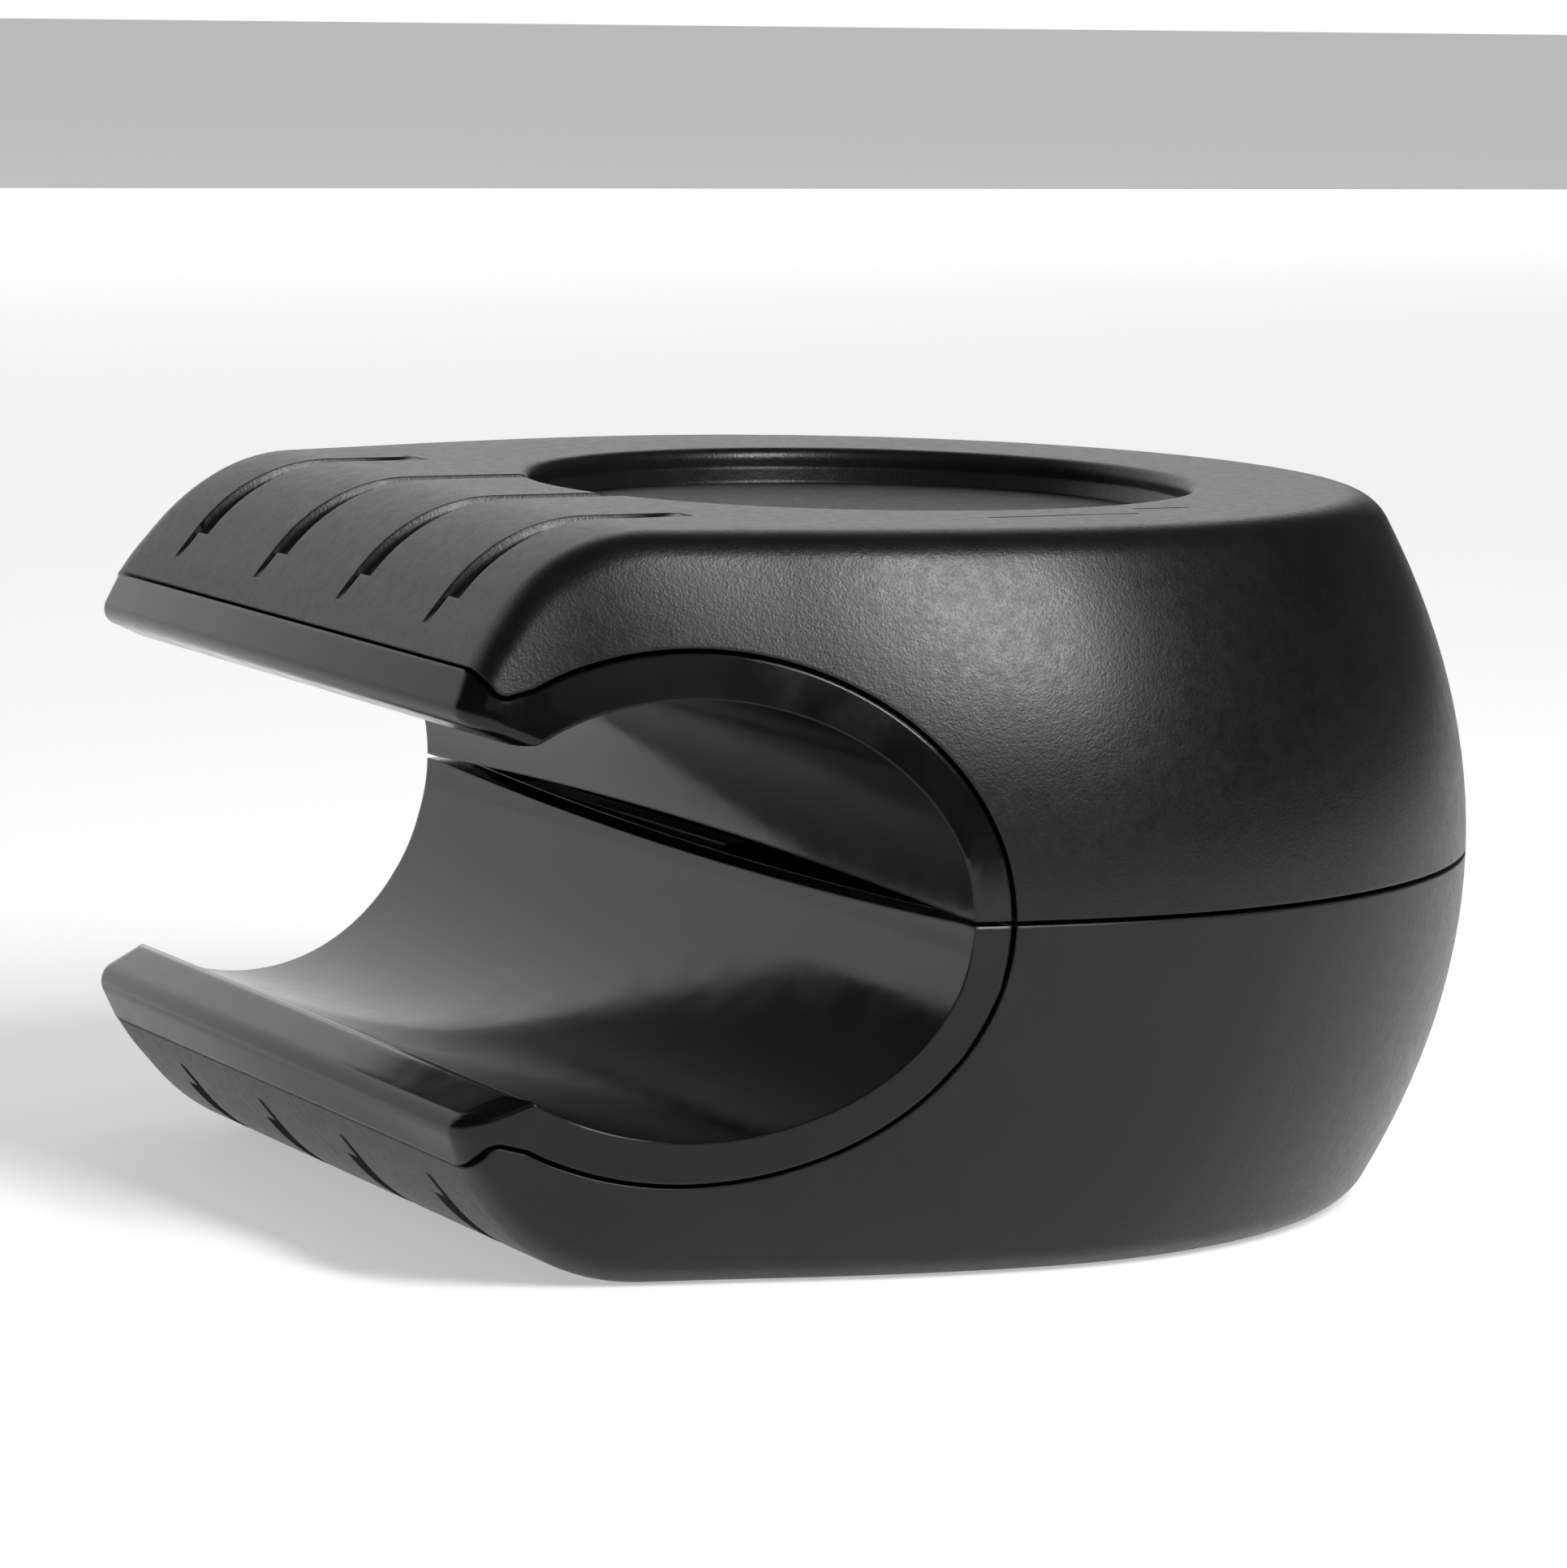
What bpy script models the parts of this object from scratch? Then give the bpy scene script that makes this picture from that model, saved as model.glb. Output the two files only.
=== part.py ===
"""Spring-jaw tube clip in two half shells.

Two identical moulded half shells, one turned over on the other, are hinged at the back. Their
noses and the smooth liner halves between them form a C-shaped bore, open to the front (-X), that
snaps over a 25.4 mm tube lying along Y. Torsion springs on the hinge pin hold the jaws closed.

Frame: metres, +Z up. X runs from the mouth (-X) to the hinge (+X), Y along the tube. The origin is
under the middle of the clip, on the surface that it rests on.

Every moulded half is modelled as the upper one, in its own frame, with z = 0 on the parting plane.
The lower half is the same moulding turned half a turn about X.
"""

import math

import bmesh
import bpy
from mathutils import Matrix, Vector

MM = 0.001

# Overall form
HALF_LENGTH = 40.5 * MM
HALF_HEIGHT = 22.7 * MM
BACK_RADIUS = 40.7 * MM
SIDE_TAPER = math.radians(16.0)
BARREL_SAG = 5.2 * MM
BARREL_HEIGHT = 20.0 * MM
EDGE_RADIUS = 3.2 * MM
PARTING_GAP = 0.3 * MM
GAP = 0.3 * MM
WELD = 0.0001 * MM
BOUNDS_MARGIN = 0.1 * MM
OVERSHOOT = 2.0 * MM
REACH = 50.0 * MM
HOLE_LENGTH = 12.0 * MM
WALL = 2.4 * MM
BACK_CENTRE_X = HALF_LENGTH - BACK_RADIUS

# Nose of each jaw, as a side profile
FRONT_X = -40.5 * MM
NOSE_FOOT = (-41.0 * MM, 12.5 * MM)
NOSE_CORNER = (-38.5 * MM, 16.5 * MM)
NOSE_RADIUS = 10.0 * MM
BROW_X = -33.3 * MM
BROW_RADIUS = 12.0 * MM

# Front corners of each jaw, where the sides stand straighter and the edges are sharper
CORNER_RADIUS = 2.4 * MM
CORNER_START_X = -33.0 * MM
CORNER_END_X = -38.5 * MM
CORNER_SAG_SHARE = 0.0
CORNER_EDGE_RADIUS = 2.4 * MM

# C-shaped bore, its liner and the seam between liner and shell
BORE_X = -27.2 * MM
BORE_HALF_DEPTH = 15.4 * MM
BORE_HALF_HEIGHT = 13.2 * MM
BORE_FRONT_ANGLE = math.radians(127.0)
SEAM_HALF_DEPTH = 17.8 * MM
SEAM_HALF_HEIGHT = 16.0 * MM
SEAM_FRONT_ANGLE = math.radians(121.0)
SEAM_HOOK = (-38.5 * MM, 13.15 * MM)
SEAM_HOOK_RADIUS = 0.9 * MM
SEAM_FRONT = (-39.56 * MM, 14.85 * MM)
LIP_TIP = (-37.4 * MM, 10.4 * MM)
LIP_FRONT = (-40.9 * MM, 11.9 * MM)
LIP_RADII = (0.5 * MM, 1.2 * MM)
SLOT_HALF_LENGTH = 37.5 * MM
SLOT_HALF_HEIGHT = 1.05 * MM

# Thumb dish and the plate that forms its floor
DISH_X = 0.8 * MM
DISH_RADIUS = 21.4 * MM
DISH_DEPTH = 2.2 * MM
DISH_RIM_ROUND = 0.8 * MM
DISH_WALL_HEIGHT = 1.3 * MM
DISH_FOOT_RADIUS = 20.7 * MM
PLATE_RADIUS = 20.2 * MM
PLATE_THICKNESS = 1.6 * MM
PLATE_HOLLOW = 0.5 * MM
PLATE_BEVEL = 0.4 * MM
PLATE_PEG_RADIUS = 1.4 * MM
PLATE_PEG_CIRCLE = 13.0 * MM
PLATE_PEG_ANGLES = (0.0, math.radians(100.0), math.radians(-100.0))
DISH_FLOOR_THICKNESS = 2.8 * MM

# Grip grooves over the nose
GROOVE_Y = (-19.5 * MM, -6.5 * MM, 6.5 * MM, 19.5 * MM)
GROOVE_START_X = -37.1 * MM
GROOVE_TAIL_X = -38.4 * MM
GROOVE_END_X = -21.5 * MM
GROOVE_DEPTH = 1.0 * MM
GROOVE_WIDTH = 2.3 * MM
GROOVE_TAIL_WIDTH = 0.8 * MM
GROOVE_SECTION = ((-0.05, -0.4), (0.08, 0.7), (0.35, 1.0), (0.7, 0.95), (0.95, 0.6), (1.03, -0.4))

# Screws that hold each liner, under the dish plate
SCREW_CIRCLE_RADIUS = 17.2 * MM
SCREW_Y = (-11.5 * MM, -4.0 * MM, 4.0 * MM, 11.5 * MM)
SCREW_RADIUS = 1.2 * MM
SCREW_LENGTH = 6.0 * MM
SCREW_HEAD_RADIUS = 2.5 * MM
SCREW_HEAD_HEIGHT = 1.2 * MM
SCREW_SOCKET_RADIUS = 1.2 * MM
SCREW_BEVEL = 0.4 * MM
BOSS_RADIUS = 2.5 * MM
BOSS_BOTTOM_Z = 6.0 * MM
BOSS_STEP = 0.5 * MM

# Ribs inside each shell
RIB_THICKNESS = 1.6 * MM
RIB_Y = (-26.0 * MM, -17.0 * MM, -7.75 * MM, 0.0, 7.75 * MM, 17.0 * MM, 26.0 * MM)
RIB_BACK_X = -4.6 * MM
SPINE_X = -7.1 * MM
SPINE_Y = (-32.0 * MM, -1.0 * MM)

# Hinge
HINGE_X = 33.6 * MM
OPENING_ANGLE = math.radians(6.0)
RELIEF_SPARE_ANGLE = math.radians(0.2)
KNUCKLE_RADIUS = 3.4 * MM
KNUCKLE_Y = ((-10.5 * MM, -7.5 * MM), (0.2 * MM, 3.1 * MM))
KNUCKLE_SIDE_GAP = 0.25 * MM
KNUCKLE_ROOM = 0.4 * MM
KNUCKLE_STEP = 0.15 * MM
KNUCKLE_WEB_X = 20.4 * MM
PIN_RADIUS = 1.5 * MM
PIN_CLEARANCE = 0.1 * MM
PIN_HALF_LENGTH = 12.2 * MM
PIN_BEVEL = 0.3 * MM
CLIP_Y = 11.2 * MM
CLIP_THICKNESS = 0.6 * MM
CLIP_RADIUS = 2.4 * MM
CLIP_GROOVE_RADIUS = 1.05 * MM
CLIP_INNER_RADIUS = 1.3 * MM
CLIP_MOUTH_WIDTH = 1.7 * MM
SPRING_WIRE_RADIUS = 0.45 * MM
SPRING_COIL_RADIUS = 2.55 * MM
SPRING_WHOLE_TURNS = 2
SPRING_Y = (-7.2 * MM, -3.4 * MM)
SPRING_HOOK_X = 23.9 * MM
SPRING_HOOK_Z = 4.5 * MM
SPRING_HOOK_DEPTH = 1.8 * MM
SPRING_BEND = 0.35 * MM

# Smoothness of the faceted curves
SIDE_STEPS = 4
EDGE_STEPS = 3
CORNER_STEPS = 4
FAN_STEPS = 22
ARC_STEP = math.radians(15.0)
ELLIPSE_STEPS = 16
CYLINDER_SIDES = 42
HOLE_SIDES = 10
PIN_SIDES = 16

BODY_COLLECTION = "tube_clip"
CUTTER_COLLECTION = "tube_clip_cutters"


# ---------------------------------------------------------------- scene and objects

def clear_scene():
    for item in list(bpy.data.objects):
        bpy.data.objects.remove(item, do_unlink=True)


def make_collection(name):
    collection = bpy.data.collections.new(name)
    bpy.context.scene.collection.children.link(collection)
    return collection


def make_material(name, colour, roughness, metallic=0.0):
    material = bpy.data.materials.new(name)
    material.use_nodes = True
    shader = material.node_tree.nodes["Principled BSDF"]
    shader.inputs["Base Color"].default_value = (*colour, 1.0)
    shader.inputs["Roughness"].default_value = roughness
    shader.inputs["Metallic"].default_value = metallic
    return material


def add_object(name, mesh, collection):
    item = bpy.data.objects.new(name, mesh)
    collection.objects.link(item)
    if collection.name.startswith(CUTTER_COLLECTION):
        item.hide_render = True
        item.display_type = "WIRE"
    return item


def mesh_from_bmesh(name, work):
    bmesh.ops.recalc_face_normals(work, faces=work.faces)
    mesh = bpy.data.meshes.new(name)
    work.to_mesh(mesh)
    work.free()
    return mesh


def evaluated_mesh(item):
    """The mesh of an object with its modifiers, welded where curve caps meet their tube."""
    bpy.context.view_layer.update()
    depsgraph = bpy.context.evaluated_depsgraph_get()
    mesh = bpy.data.meshes.new_from_object(item.evaluated_get(depsgraph))
    work = bmesh.new()
    work.from_mesh(mesh)
    bmesh.ops.remove_doubles(work, verts=work.verts, dist=WELD)
    bmesh.ops.recalc_face_normals(work, faces=work.faces)
    work.to_mesh(mesh)
    work.free()
    return mesh


def apply_boolean(item, cutter, operation):
    """Combines a solid with another one, which is used up."""
    modifier = item.modifiers.new(operation.lower(), "BOOLEAN")
    modifier.operation = operation
    modifier.solver = "EXACT"
    modifier.object = cutter
    mesh = evaluated_mesh(item)
    item.modifiers.remove(modifier)
    item.data = mesh
    bpy.data.objects.remove(cutter, do_unlink=True)


def cut(item, cutter):
    apply_boolean(item, cutter, "DIFFERENCE")


def join(item, other):
    apply_boolean(item, other, "UNION")


def keep_inside(item, bounds):
    apply_boolean(item, bounds, "INTERSECT")


# ---------------------------------------------------------------- outlines

def rounded(points, radii):
    """A path through points whose inner corners are replaced by arcs of the given radii."""
    path = [points[0]]
    for before, corner, after, radius in zip(points, points[1:], points[2:], radii):
        corner = Vector(corner)
        inward = (Vector(before) - corner).normalized()
        outward = (Vector(after) - corner).normalized()
        half_turn = inward.angle(outward) / 2
        bisector = (inward + outward).normalized()
        centre = corner + bisector * (radius / math.sin(half_turn))
        start = corner + inward * (radius / math.tan(half_turn)) - centre
        end = corner + outward * (radius / math.tan(half_turn)) - centre
        turn = math.atan2(start.x * end.y - start.y * end.x, start.dot(end))
        steps = max(2, round(abs(turn) / ARC_STEP))
        for step in range(steps + 1):
            angle = turn * step / steps
            cosine, sine = math.cos(angle), math.sin(angle)
            path.append((centre.x + start.x * cosine - start.y * sine,
                         centre.y + start.x * sine + start.y * cosine))
    path.append(points[-1])
    return path


def offset_path(path, distance):
    """The path moved sideways, to the left of its direction when distance is positive."""
    moved = []
    for index, point in enumerate(path):
        before = Vector(path[max(index - 1, 0)])
        after = Vector(path[min(index + 1, len(path) - 1)])
        along = (after - before).normalized()
        moved.append((point[0] - along.y * distance, point[1] + along.x * distance))
    return moved


def interpolate(path, x):
    for (x0, z0), (x1, z1) in zip(path, path[1:]):
        if x <= x1:
            return z0 + (z1 - z0) * max(x - x0, 0.0) / max(x1 - x0, 1e-9)
    return path[-1][1]


def ellipse_arc(half_depth, half_height, start, end, steps=ELLIPSE_STEPS):
    """Points of an ellipse about the bore's axis, from one angle to another, 0 being the back."""
    angles = [start + (end - start) * step / steps for step in range(steps + 1)]
    return [(BORE_X + half_depth * math.cos(a), half_height * math.sin(a)) for a in angles]


def nose_profile():
    """Height of the outer top surface over x, from the jaw's front to the flat top."""
    points = [NOSE_FOOT, NOSE_CORNER, (BROW_X, HALF_HEIGHT), (BACK_CENTRE_X, HALF_HEIGHT)]
    return rounded(points, [NOSE_RADIUS, BROW_RADIUS])


def half_width(x):
    """Half width of the plan outline on the parting plane."""
    tangent_x = BACK_CENTRE_X - BACK_RADIUS * math.sin(SIDE_TAPER)
    if x > tangent_x:
        return math.sqrt(BACK_RADIUS ** 2 - (x - BACK_CENTRE_X) ** 2)
    return BACK_RADIUS * math.cos(SIDE_TAPER) - (tangent_x - x) * math.tan(SIDE_TAPER)


def corner_share(x):
    """0 behind the jaw's front corners, rising smoothly to 1 at the very front."""
    share = min(max((CORNER_START_X - x) / (CORNER_START_X - CORNER_END_X), 0.0), 1.0)
    return share * share * (3 - 2 * share)


def blend(share, plain, cornered):
    return plain + (cornered - plain) * share


def side_sag(x):
    """How far the bulging side has drawn in at BARREL_HEIGHT above the parting plane."""
    return BARREL_SAG * blend(corner_share(x), 1.0, CORNER_SAG_SHARE)


def edge_section(x, bottom, top, radius):
    """(inset, z) pairs up the bulging side, round the edge and on to the flat top."""
    sag = side_sag(x)
    start = top
    for _ in range(6):
        lean = math.atan(2 * sag * start / BARREL_HEIGHT ** 2)
        start = top - radius * (1 - math.sin(lean))
    section = []
    for step in range(SIDE_STEPS + 1):
        z = bottom + (start - bottom) * step / SIDE_STEPS
        section.append((sag * (z / BARREL_HEIGHT) ** 2, z))
    inset = section[-1][0]
    for step in range(1, EDGE_STEPS + 1):
        angle = lean + (math.pi / 2 - lean) * step / EDGE_STEPS
        section.append((inset + radius * (math.cos(lean) - math.cos(angle)),
                        start + radius * (math.sin(angle) - math.sin(lean))))
    return section


# ---------------------------------------------------------------- solids

def half_body(name, collection, stations, top_at, inset, bottom, radii):
    """A half of the clip's body: sections across Y in front, and a fan of them round the back.

    radii are the top edge's radius behind the jaw and at its front corners.
    """
    work = bmesh.new()
    rows = []
    for x in stations:
        section = edge_section(x, bottom, top_at(x), blend(corner_share(x), *radii))
        width = half_width(x) - inset
        right = [work.verts.new((x, width - a, z)) for a, z in section]
        left = [work.verts.new((x, a - width, z)) for a, z in section]
        rows.append((right, left, work.verts.new((x, 0.0, section[-1][1]))))
    hub = rows[-1][2]
    section = edge_section(stations[-1], bottom, top_at(stations[-1]), radii[0])
    fan = [rows[-1][0]]
    for step in range(1, FAN_STEPS):
        angle = math.pi / 2 - math.pi * step / FAN_STEPS
        fan.append([work.verts.new((BACK_CENTRE_X + (BACK_RADIUS - inset - a) * math.cos(angle),
                                    (BACK_RADIUS - inset - a) * math.sin(angle), z))
                    for a, z in section])
    fan.append(rows[-1][1])
    for (right, left, middle), (next_right, next_left, next_middle) in zip(rows, rows[1:]):
        for side, following in ((right, next_right), (left, next_left)):
            for low in range(len(side) - 1):
                work.faces.new((side[low], side[low + 1], following[low + 1], following[low]))
            work.faces.new((side[-1], middle, next_middle, following[-1]))
    for column, following in zip(fan, fan[1:]):
        for low in range(len(column) - 1):
            work.faces.new((column[low], column[low + 1], following[low + 1], following[low]))
        work.faces.new((column[-1], hub, following[-1]))
    front_right, front_left, front_middle = rows[0]
    work.faces.new([*front_right, front_middle, *reversed(front_left)])
    rim = [right[0] for right, left, middle in rows]
    rim += [column[0] for column in fan[1:-1]]
    rim += [left[0] for right, left, middle in reversed(rows)]
    work.faces.new(rim)
    return add_object(name, mesh_from_bmesh(name, work), collection)


def box(name, low, high, collection):
    work = bmesh.new()
    bmesh.ops.create_cube(work, size=1.0)
    low, high = Vector(low), Vector(high)
    centre = (low + high) / 2
    size = high - low
    bmesh.ops.transform(work, matrix=Matrix.Translation(centre) @ Matrix.Diagonal((*size, 1.0)),
                        verts=work.verts)
    return add_object(name, mesh_from_bmesh(name, work), collection)


def cylinder(name, centre, radius, length, axis, sides, collection):
    """A cylinder about centre, its axis along "Y" or "Z"."""
    work = bmesh.new()
    bmesh.ops.create_cone(work, cap_ends=True, segments=sides, radius1=radius, radius2=radius,
                          depth=length)
    turn = Matrix.Rotation(math.pi / 2, 4, "X") if axis == "Y" else Matrix.Identity(4)
    bmesh.ops.transform(work, matrix=Matrix.Translation(centre) @ turn, verts=work.verts)
    return add_object(name, mesh_from_bmesh(name, work), collection)


def extruded(name, outline, y_low, y_high, collection):
    """A solid whose outline in XZ is carried along Y."""
    work = bmesh.new()
    face = work.faces.new([work.verts.new((x, y_low, z)) for x, z in outline])
    swept = bmesh.ops.extrude_face_region(work, geom=[face])
    moved = [item for item in swept["geom"] if isinstance(item, bmesh.types.BMVert)]
    bmesh.ops.translate(work, verts=moved, vec=(0.0, y_high - y_low, 0.0))
    return add_object(name, mesh_from_bmesh(name, work), collection)


def turned(name, profile, steps, collection):
    """A solid of revolution about Z. Its profile, (radius, z), runs from the top axis point down."""
    work = bmesh.new()
    points = [work.verts.new((radius, 0.0, z)) for radius, z in profile]
    for upper, lower in zip(points, points[1:]):
        work.edges.new((upper, lower))
    mesh = bpy.data.meshes.new(name)
    work.to_mesh(mesh)
    work.free()
    item = add_object(name, mesh, collection)
    screw = item.modifiers.new("turn", "SCREW")
    screw.steps = steps
    screw.render_steps = steps
    screw.use_merge_vertices = True
    screw.merge_threshold = WELD
    item.data = evaluated_mesh(item)
    item.modifiers.remove(screw)
    return item


# ---------------------------------------------------------------- moulded half shell

def seam_path():
    """The line between liner and shell, from the jaw's front to the parting plane."""
    onto_ellipse = ellipse_arc(SEAM_HALF_DEPTH, SEAM_HALF_HEIGHT, SEAM_FRONT_ANGLE, 0.0)
    hook = rounded([SEAM_FRONT, SEAM_HOOK, onto_ellipse[0]], [SEAM_HOOK_RADIUS])
    return hook[:-1] + onto_ellipse


def bore_cutter(collection):
    seam = offset_path(seam_path(), GAP / 2)
    front, back = seam[0], seam[-1]
    beyond = FRONT_X - OVERSHOOT
    outline = [(beyond, -OVERSHOOT), (beyond, front[1]), *seam, (back[0], -OVERSHOOT)]
    return extruded("bore_cutter", outline, -REACH, REACH, collection)


def cavity_cutter(collection):
    """The inside of a shell: its outer form less the wall, the ribs and the dish's floor."""
    nose = nose_profile()
    front = NOSE_CORNER[0] + WALL
    stations = [front, front + WALL, front + 2 * WALL, BROW_X + BROW_RADIUS / 2,
                BACK_CENTRE_X - BACK_RADIUS / 4, BACK_CENTRE_X]
    edge_radius = EDGE_RADIUS - WALL
    cavity = half_body("cavity_cutter", collection, stations,
                       lambda x: interpolate(nose, x) - WALL, WALL, -OVERSHOOT / 2,
                       (edge_radius, edge_radius))
    high = HALF_HEIGHT
    for y in RIB_Y:
        cut(cavity, box("rib", (2 * FRONT_X, y - RIB_THICKNESS / 2, -OVERSHOOT),
                        (RIB_BACK_X, y + RIB_THICKNESS / 2, high), collection))
    cut(cavity, box("spine", (SPINE_X - RIB_THICKNESS / 2, SPINE_Y[0], -OVERSHOOT),
                    (SPINE_X + RIB_THICKNESS / 2, SPINE_Y[1], high), collection))
    for y_low, y_high in KNUCKLE_Y:
        cut(cavity, box("knuckle_web", (KNUCKLE_WEB_X, y_low + KNUCKLE_STEP, -OVERSHOOT),
                        (HALF_LENGTH, y_high - KNUCKLE_STEP, high), collection))
    cut(cavity, cylinder("dish_floor", (DISH_X, 0.0, dish_floor_bottom_z() + HOLE_LENGTH / 2),
                         DISH_RADIUS + WALL / 2, HOLE_LENGTH, "Z", CYLINDER_SIDES, collection))
    return cavity


def dish_cutter(collection):
    """The dish with its rounded rim, and under it the deeper seat of the plate."""
    top = HALF_HEIGHT
    seat = plate_seat_z()
    above = top + OVERSHOOT
    rim = [(DISH_RADIUS - DISH_RIM_ROUND * math.sin(a) + DISH_RIM_ROUND,
            top - DISH_RIM_ROUND + DISH_RIM_ROUND * math.cos(a))
           for a in (math.pi / 2 * step / EDGE_STEPS for step in range(EDGE_STEPS + 1))]
    wall = [(DISH_RADIUS, top - DISH_WALL_HEIGHT), (DISH_FOOT_RADIUS, top - DISH_DEPTH)]
    profile = [(0.0, above), (DISH_RADIUS + DISH_RIM_ROUND, above), *rim, *wall,
               (PLATE_RADIUS + GAP, seat), (0.0, seat)]
    dish = turned("dish_cutter", profile, CYLINDER_SIDES, collection)
    dish.location.x = DISH_X
    return dish


def plate_seat_z():
    """Height of the shell's floor under the dish plate."""
    return HALF_HEIGHT - DISH_DEPTH - PLATE_THICKNESS - GAP


def dish_floor_bottom_z():
    return plate_seat_z() - DISH_FLOOR_THICKNESS


def plate_peg_places():
    return [(DISH_X + PLATE_PEG_CIRCLE * math.cos(a), PLATE_PEG_CIRCLE * math.sin(a))
            for a in PLATE_PEG_ANGLES]


def screw_places():
    return [(DISH_X - math.sqrt(SCREW_CIRCLE_RADIUS ** 2 - y ** 2), y) for y in SCREW_Y]


def screw_seat_z():
    """Height of the counterbore floor that a liner screw's head sits on."""
    return plate_seat_z() - SCREW_HEAD_HEIGHT - GAP


def channel(near, far, x_start, x_end, steps, depth_at, collection):
    """A cutter for a round-bottomed groove that follows the nose from one x to another."""
    nose = nose_profile()
    work = bmesh.new()
    rings = []
    for step in range(steps + 1):
        along = step / steps
        x = x_start + (x_end - x_start) * along
        surface = interpolate(nose, x)
        depth = depth_at(along)
        rings.append([work.verts.new((x, near + (far - near) * across, surface - depth * down))
                      for across, down in GROOVE_SECTION])
    sides = len(GROOVE_SECTION)
    for ring, following in zip(rings, rings[1:]):
        for index in range(sides):
            other = (index + 1) % sides
            work.faces.new((ring[index], ring[other], following[other], following[index]))
    work.faces.new(rings[0])
    work.faces.new(list(reversed(rings[-1])))
    return add_object("groove_cutter", mesh_from_bmesh("groove_cutter", work), collection)


def cut_groove(shell, y_middle, collection):
    """A grip groove: a thin tail down the nose, a blunt start and a run towards the dish."""
    near, far = y_middle - GROOVE_WIDTH / 2, y_middle + GROOVE_WIDTH / 2
    outer = abs(y_middle) > DISH_RADIUS / 2
    if outer:
        cut(shell, channel(near, far, GROOVE_START_X, GROOVE_END_X, 9,
                           lambda along: GROOVE_DEPTH * (1 - 0.9 * along ** 3), collection))
    else:
        cut(shell, channel(near, far, GROOVE_START_X, DISH_X - DISH_RADIUS + OVERSHOOT, 8,
                           lambda along: GROOVE_DEPTH * (1 - 0.3 * along), collection))
    cut(shell, channel(far - GROOVE_TAIL_WIDTH, far, GROOVE_TAIL_X, GROOVE_START_X + GAP, 2,
                       lambda along: GROOVE_DEPTH * (0.1 + 0.5 * along), collection))


def hinge_relief(collection):
    """Wedge behind the hinge axis that lets the back edges pass as the jaws open."""
    lean = OPENING_ANGLE / 2 + RELIEF_SPARE_ANGLE
    back = HALF_LENGTH + OVERSHOOT
    low = PARTING_GAP / 2
    outline = [(HINGE_X, -OVERSHOOT), (HINGE_X, low),
               (back, low + (back - HINGE_X) * math.tan(lean)), (back, -OVERSHOOT)]
    return extruded("hinge_relief", outline, -REACH, REACH, collection)


def make_half_shell(collection):
    nose = nose_profile()
    flat = [BACK_CENTRE_X - BACK_RADIUS * math.sin(SIDE_TAPER), BACK_CENTRE_X - BACK_RADIUS / 10]
    stations = [x for x, z in nose[:-1]] + flat + [BACK_CENTRE_X]
    shell = half_body("half_shell", collection, stations, lambda x: interpolate(nose, x),
                      0.0, PARTING_GAP / 2, (EDGE_RADIUS, CORNER_EDGE_RADIUS))
    cut(shell, cavity_cutter(collection))
    cut(shell, bore_cutter(collection))
    cut(shell, dish_cutter(collection))
    for y in GROOVE_Y:
        cut_groove(shell, y, collection)
    for x, y in plate_peg_places():
        cut(shell, cylinder("peg_hole", (x, y, screw_seat_z()), PLATE_PEG_RADIUS + GAP, HOLE_LENGTH,
                            "Z", HOLE_SIDES, collection))
    for x, y in screw_places():
        seat = screw_seat_z()
        cut(shell, cylinder("screw_hole", (x, y, seat), SCREW_RADIUS + GAP, HOLE_LENGTH, "Z",
                            HOLE_SIDES, collection))
        cut(shell, cylinder("counterbore", (x, y, seat + HOLE_LENGTH / 4), SCREW_HEAD_RADIUS + GAP,
                            HOLE_LENGTH / 2, "Z", HOLE_SIDES, collection))
    cut(shell, hinge_relief(collection))
    for y_low, y_high in KNUCKLE_Y:
        middle = (y_low + y_high) / 2
        width = y_high - y_low
        join(shell, cylinder("knuckle", (HINGE_X, middle, 0.0), KNUCKLE_RADIUS, width, "Y",
                             PIN_SIDES, collection))
        cut(shell, cylinder("knuckle_room", (HINGE_X, -middle, 0.0), KNUCKLE_RADIUS + KNUCKLE_ROOM,
                            width + 2 * KNUCKLE_SIDE_GAP, "Y", PIN_SIDES, collection))
        cut(shell, cylinder("hook_hole", (SPRING_HOOK_X, middle, SPRING_HOOK_Z),
                            SPRING_WIRE_RADIUS + GAP, 2 * width, "Y", HOLE_SIDES, collection))
    cut(shell, cylinder("pin_hole", (HINGE_X, 0.0, 0.0), PIN_RADIUS + PIN_CLEARANCE,
                        2 * PIN_HALF_LENGTH + OVERSHOOT / 2, "Y", PIN_SIDES, collection))
    return shell


# ---------------------------------------------------------------- moulded half liner

def slot_cutter(collection):
    """Takes the liner's back edge down to the parting gap, and hollows its middle into a lens."""
    gap = PARTING_GAP / 2
    steps = ELLIPSE_STEPS + 8
    outline = [(-REACH, -OVERSHOOT), (-REACH, gap)]
    for step in range(steps + 1):
        y = SLOT_HALF_LENGTH * (2 * step / steps - 1)
        outline.append((y, gap + (SLOT_HALF_HEIGHT - gap) * (1 - (y / SLOT_HALF_LENGTH) ** 2)))
    outline += [(REACH, gap), (REACH, -OVERSHOOT)]
    cutter = extruded("slot_cutter", outline, -BORE_HALF_DEPTH, BORE_HALF_DEPTH, collection)
    cutter.data.transform(Matrix.Rotation(math.pi / 2, 4, "Z"))
    cutter.location.x = BORE_X + BORE_HALF_DEPTH
    return cutter


def lip_path():
    """The liner's front in side view, from the bore's front edge round the lip to the seam."""
    inner_end = ellipse_arc(BORE_HALF_DEPTH, BORE_HALF_HEIGHT, 0.0, BORE_FRONT_ANGLE)[-1]
    outer_start = offset_path(seam_path(), -GAP / 2)[0]
    return rounded([inner_end, LIP_TIP, LIP_FRONT, outer_start], LIP_RADII)


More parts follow.
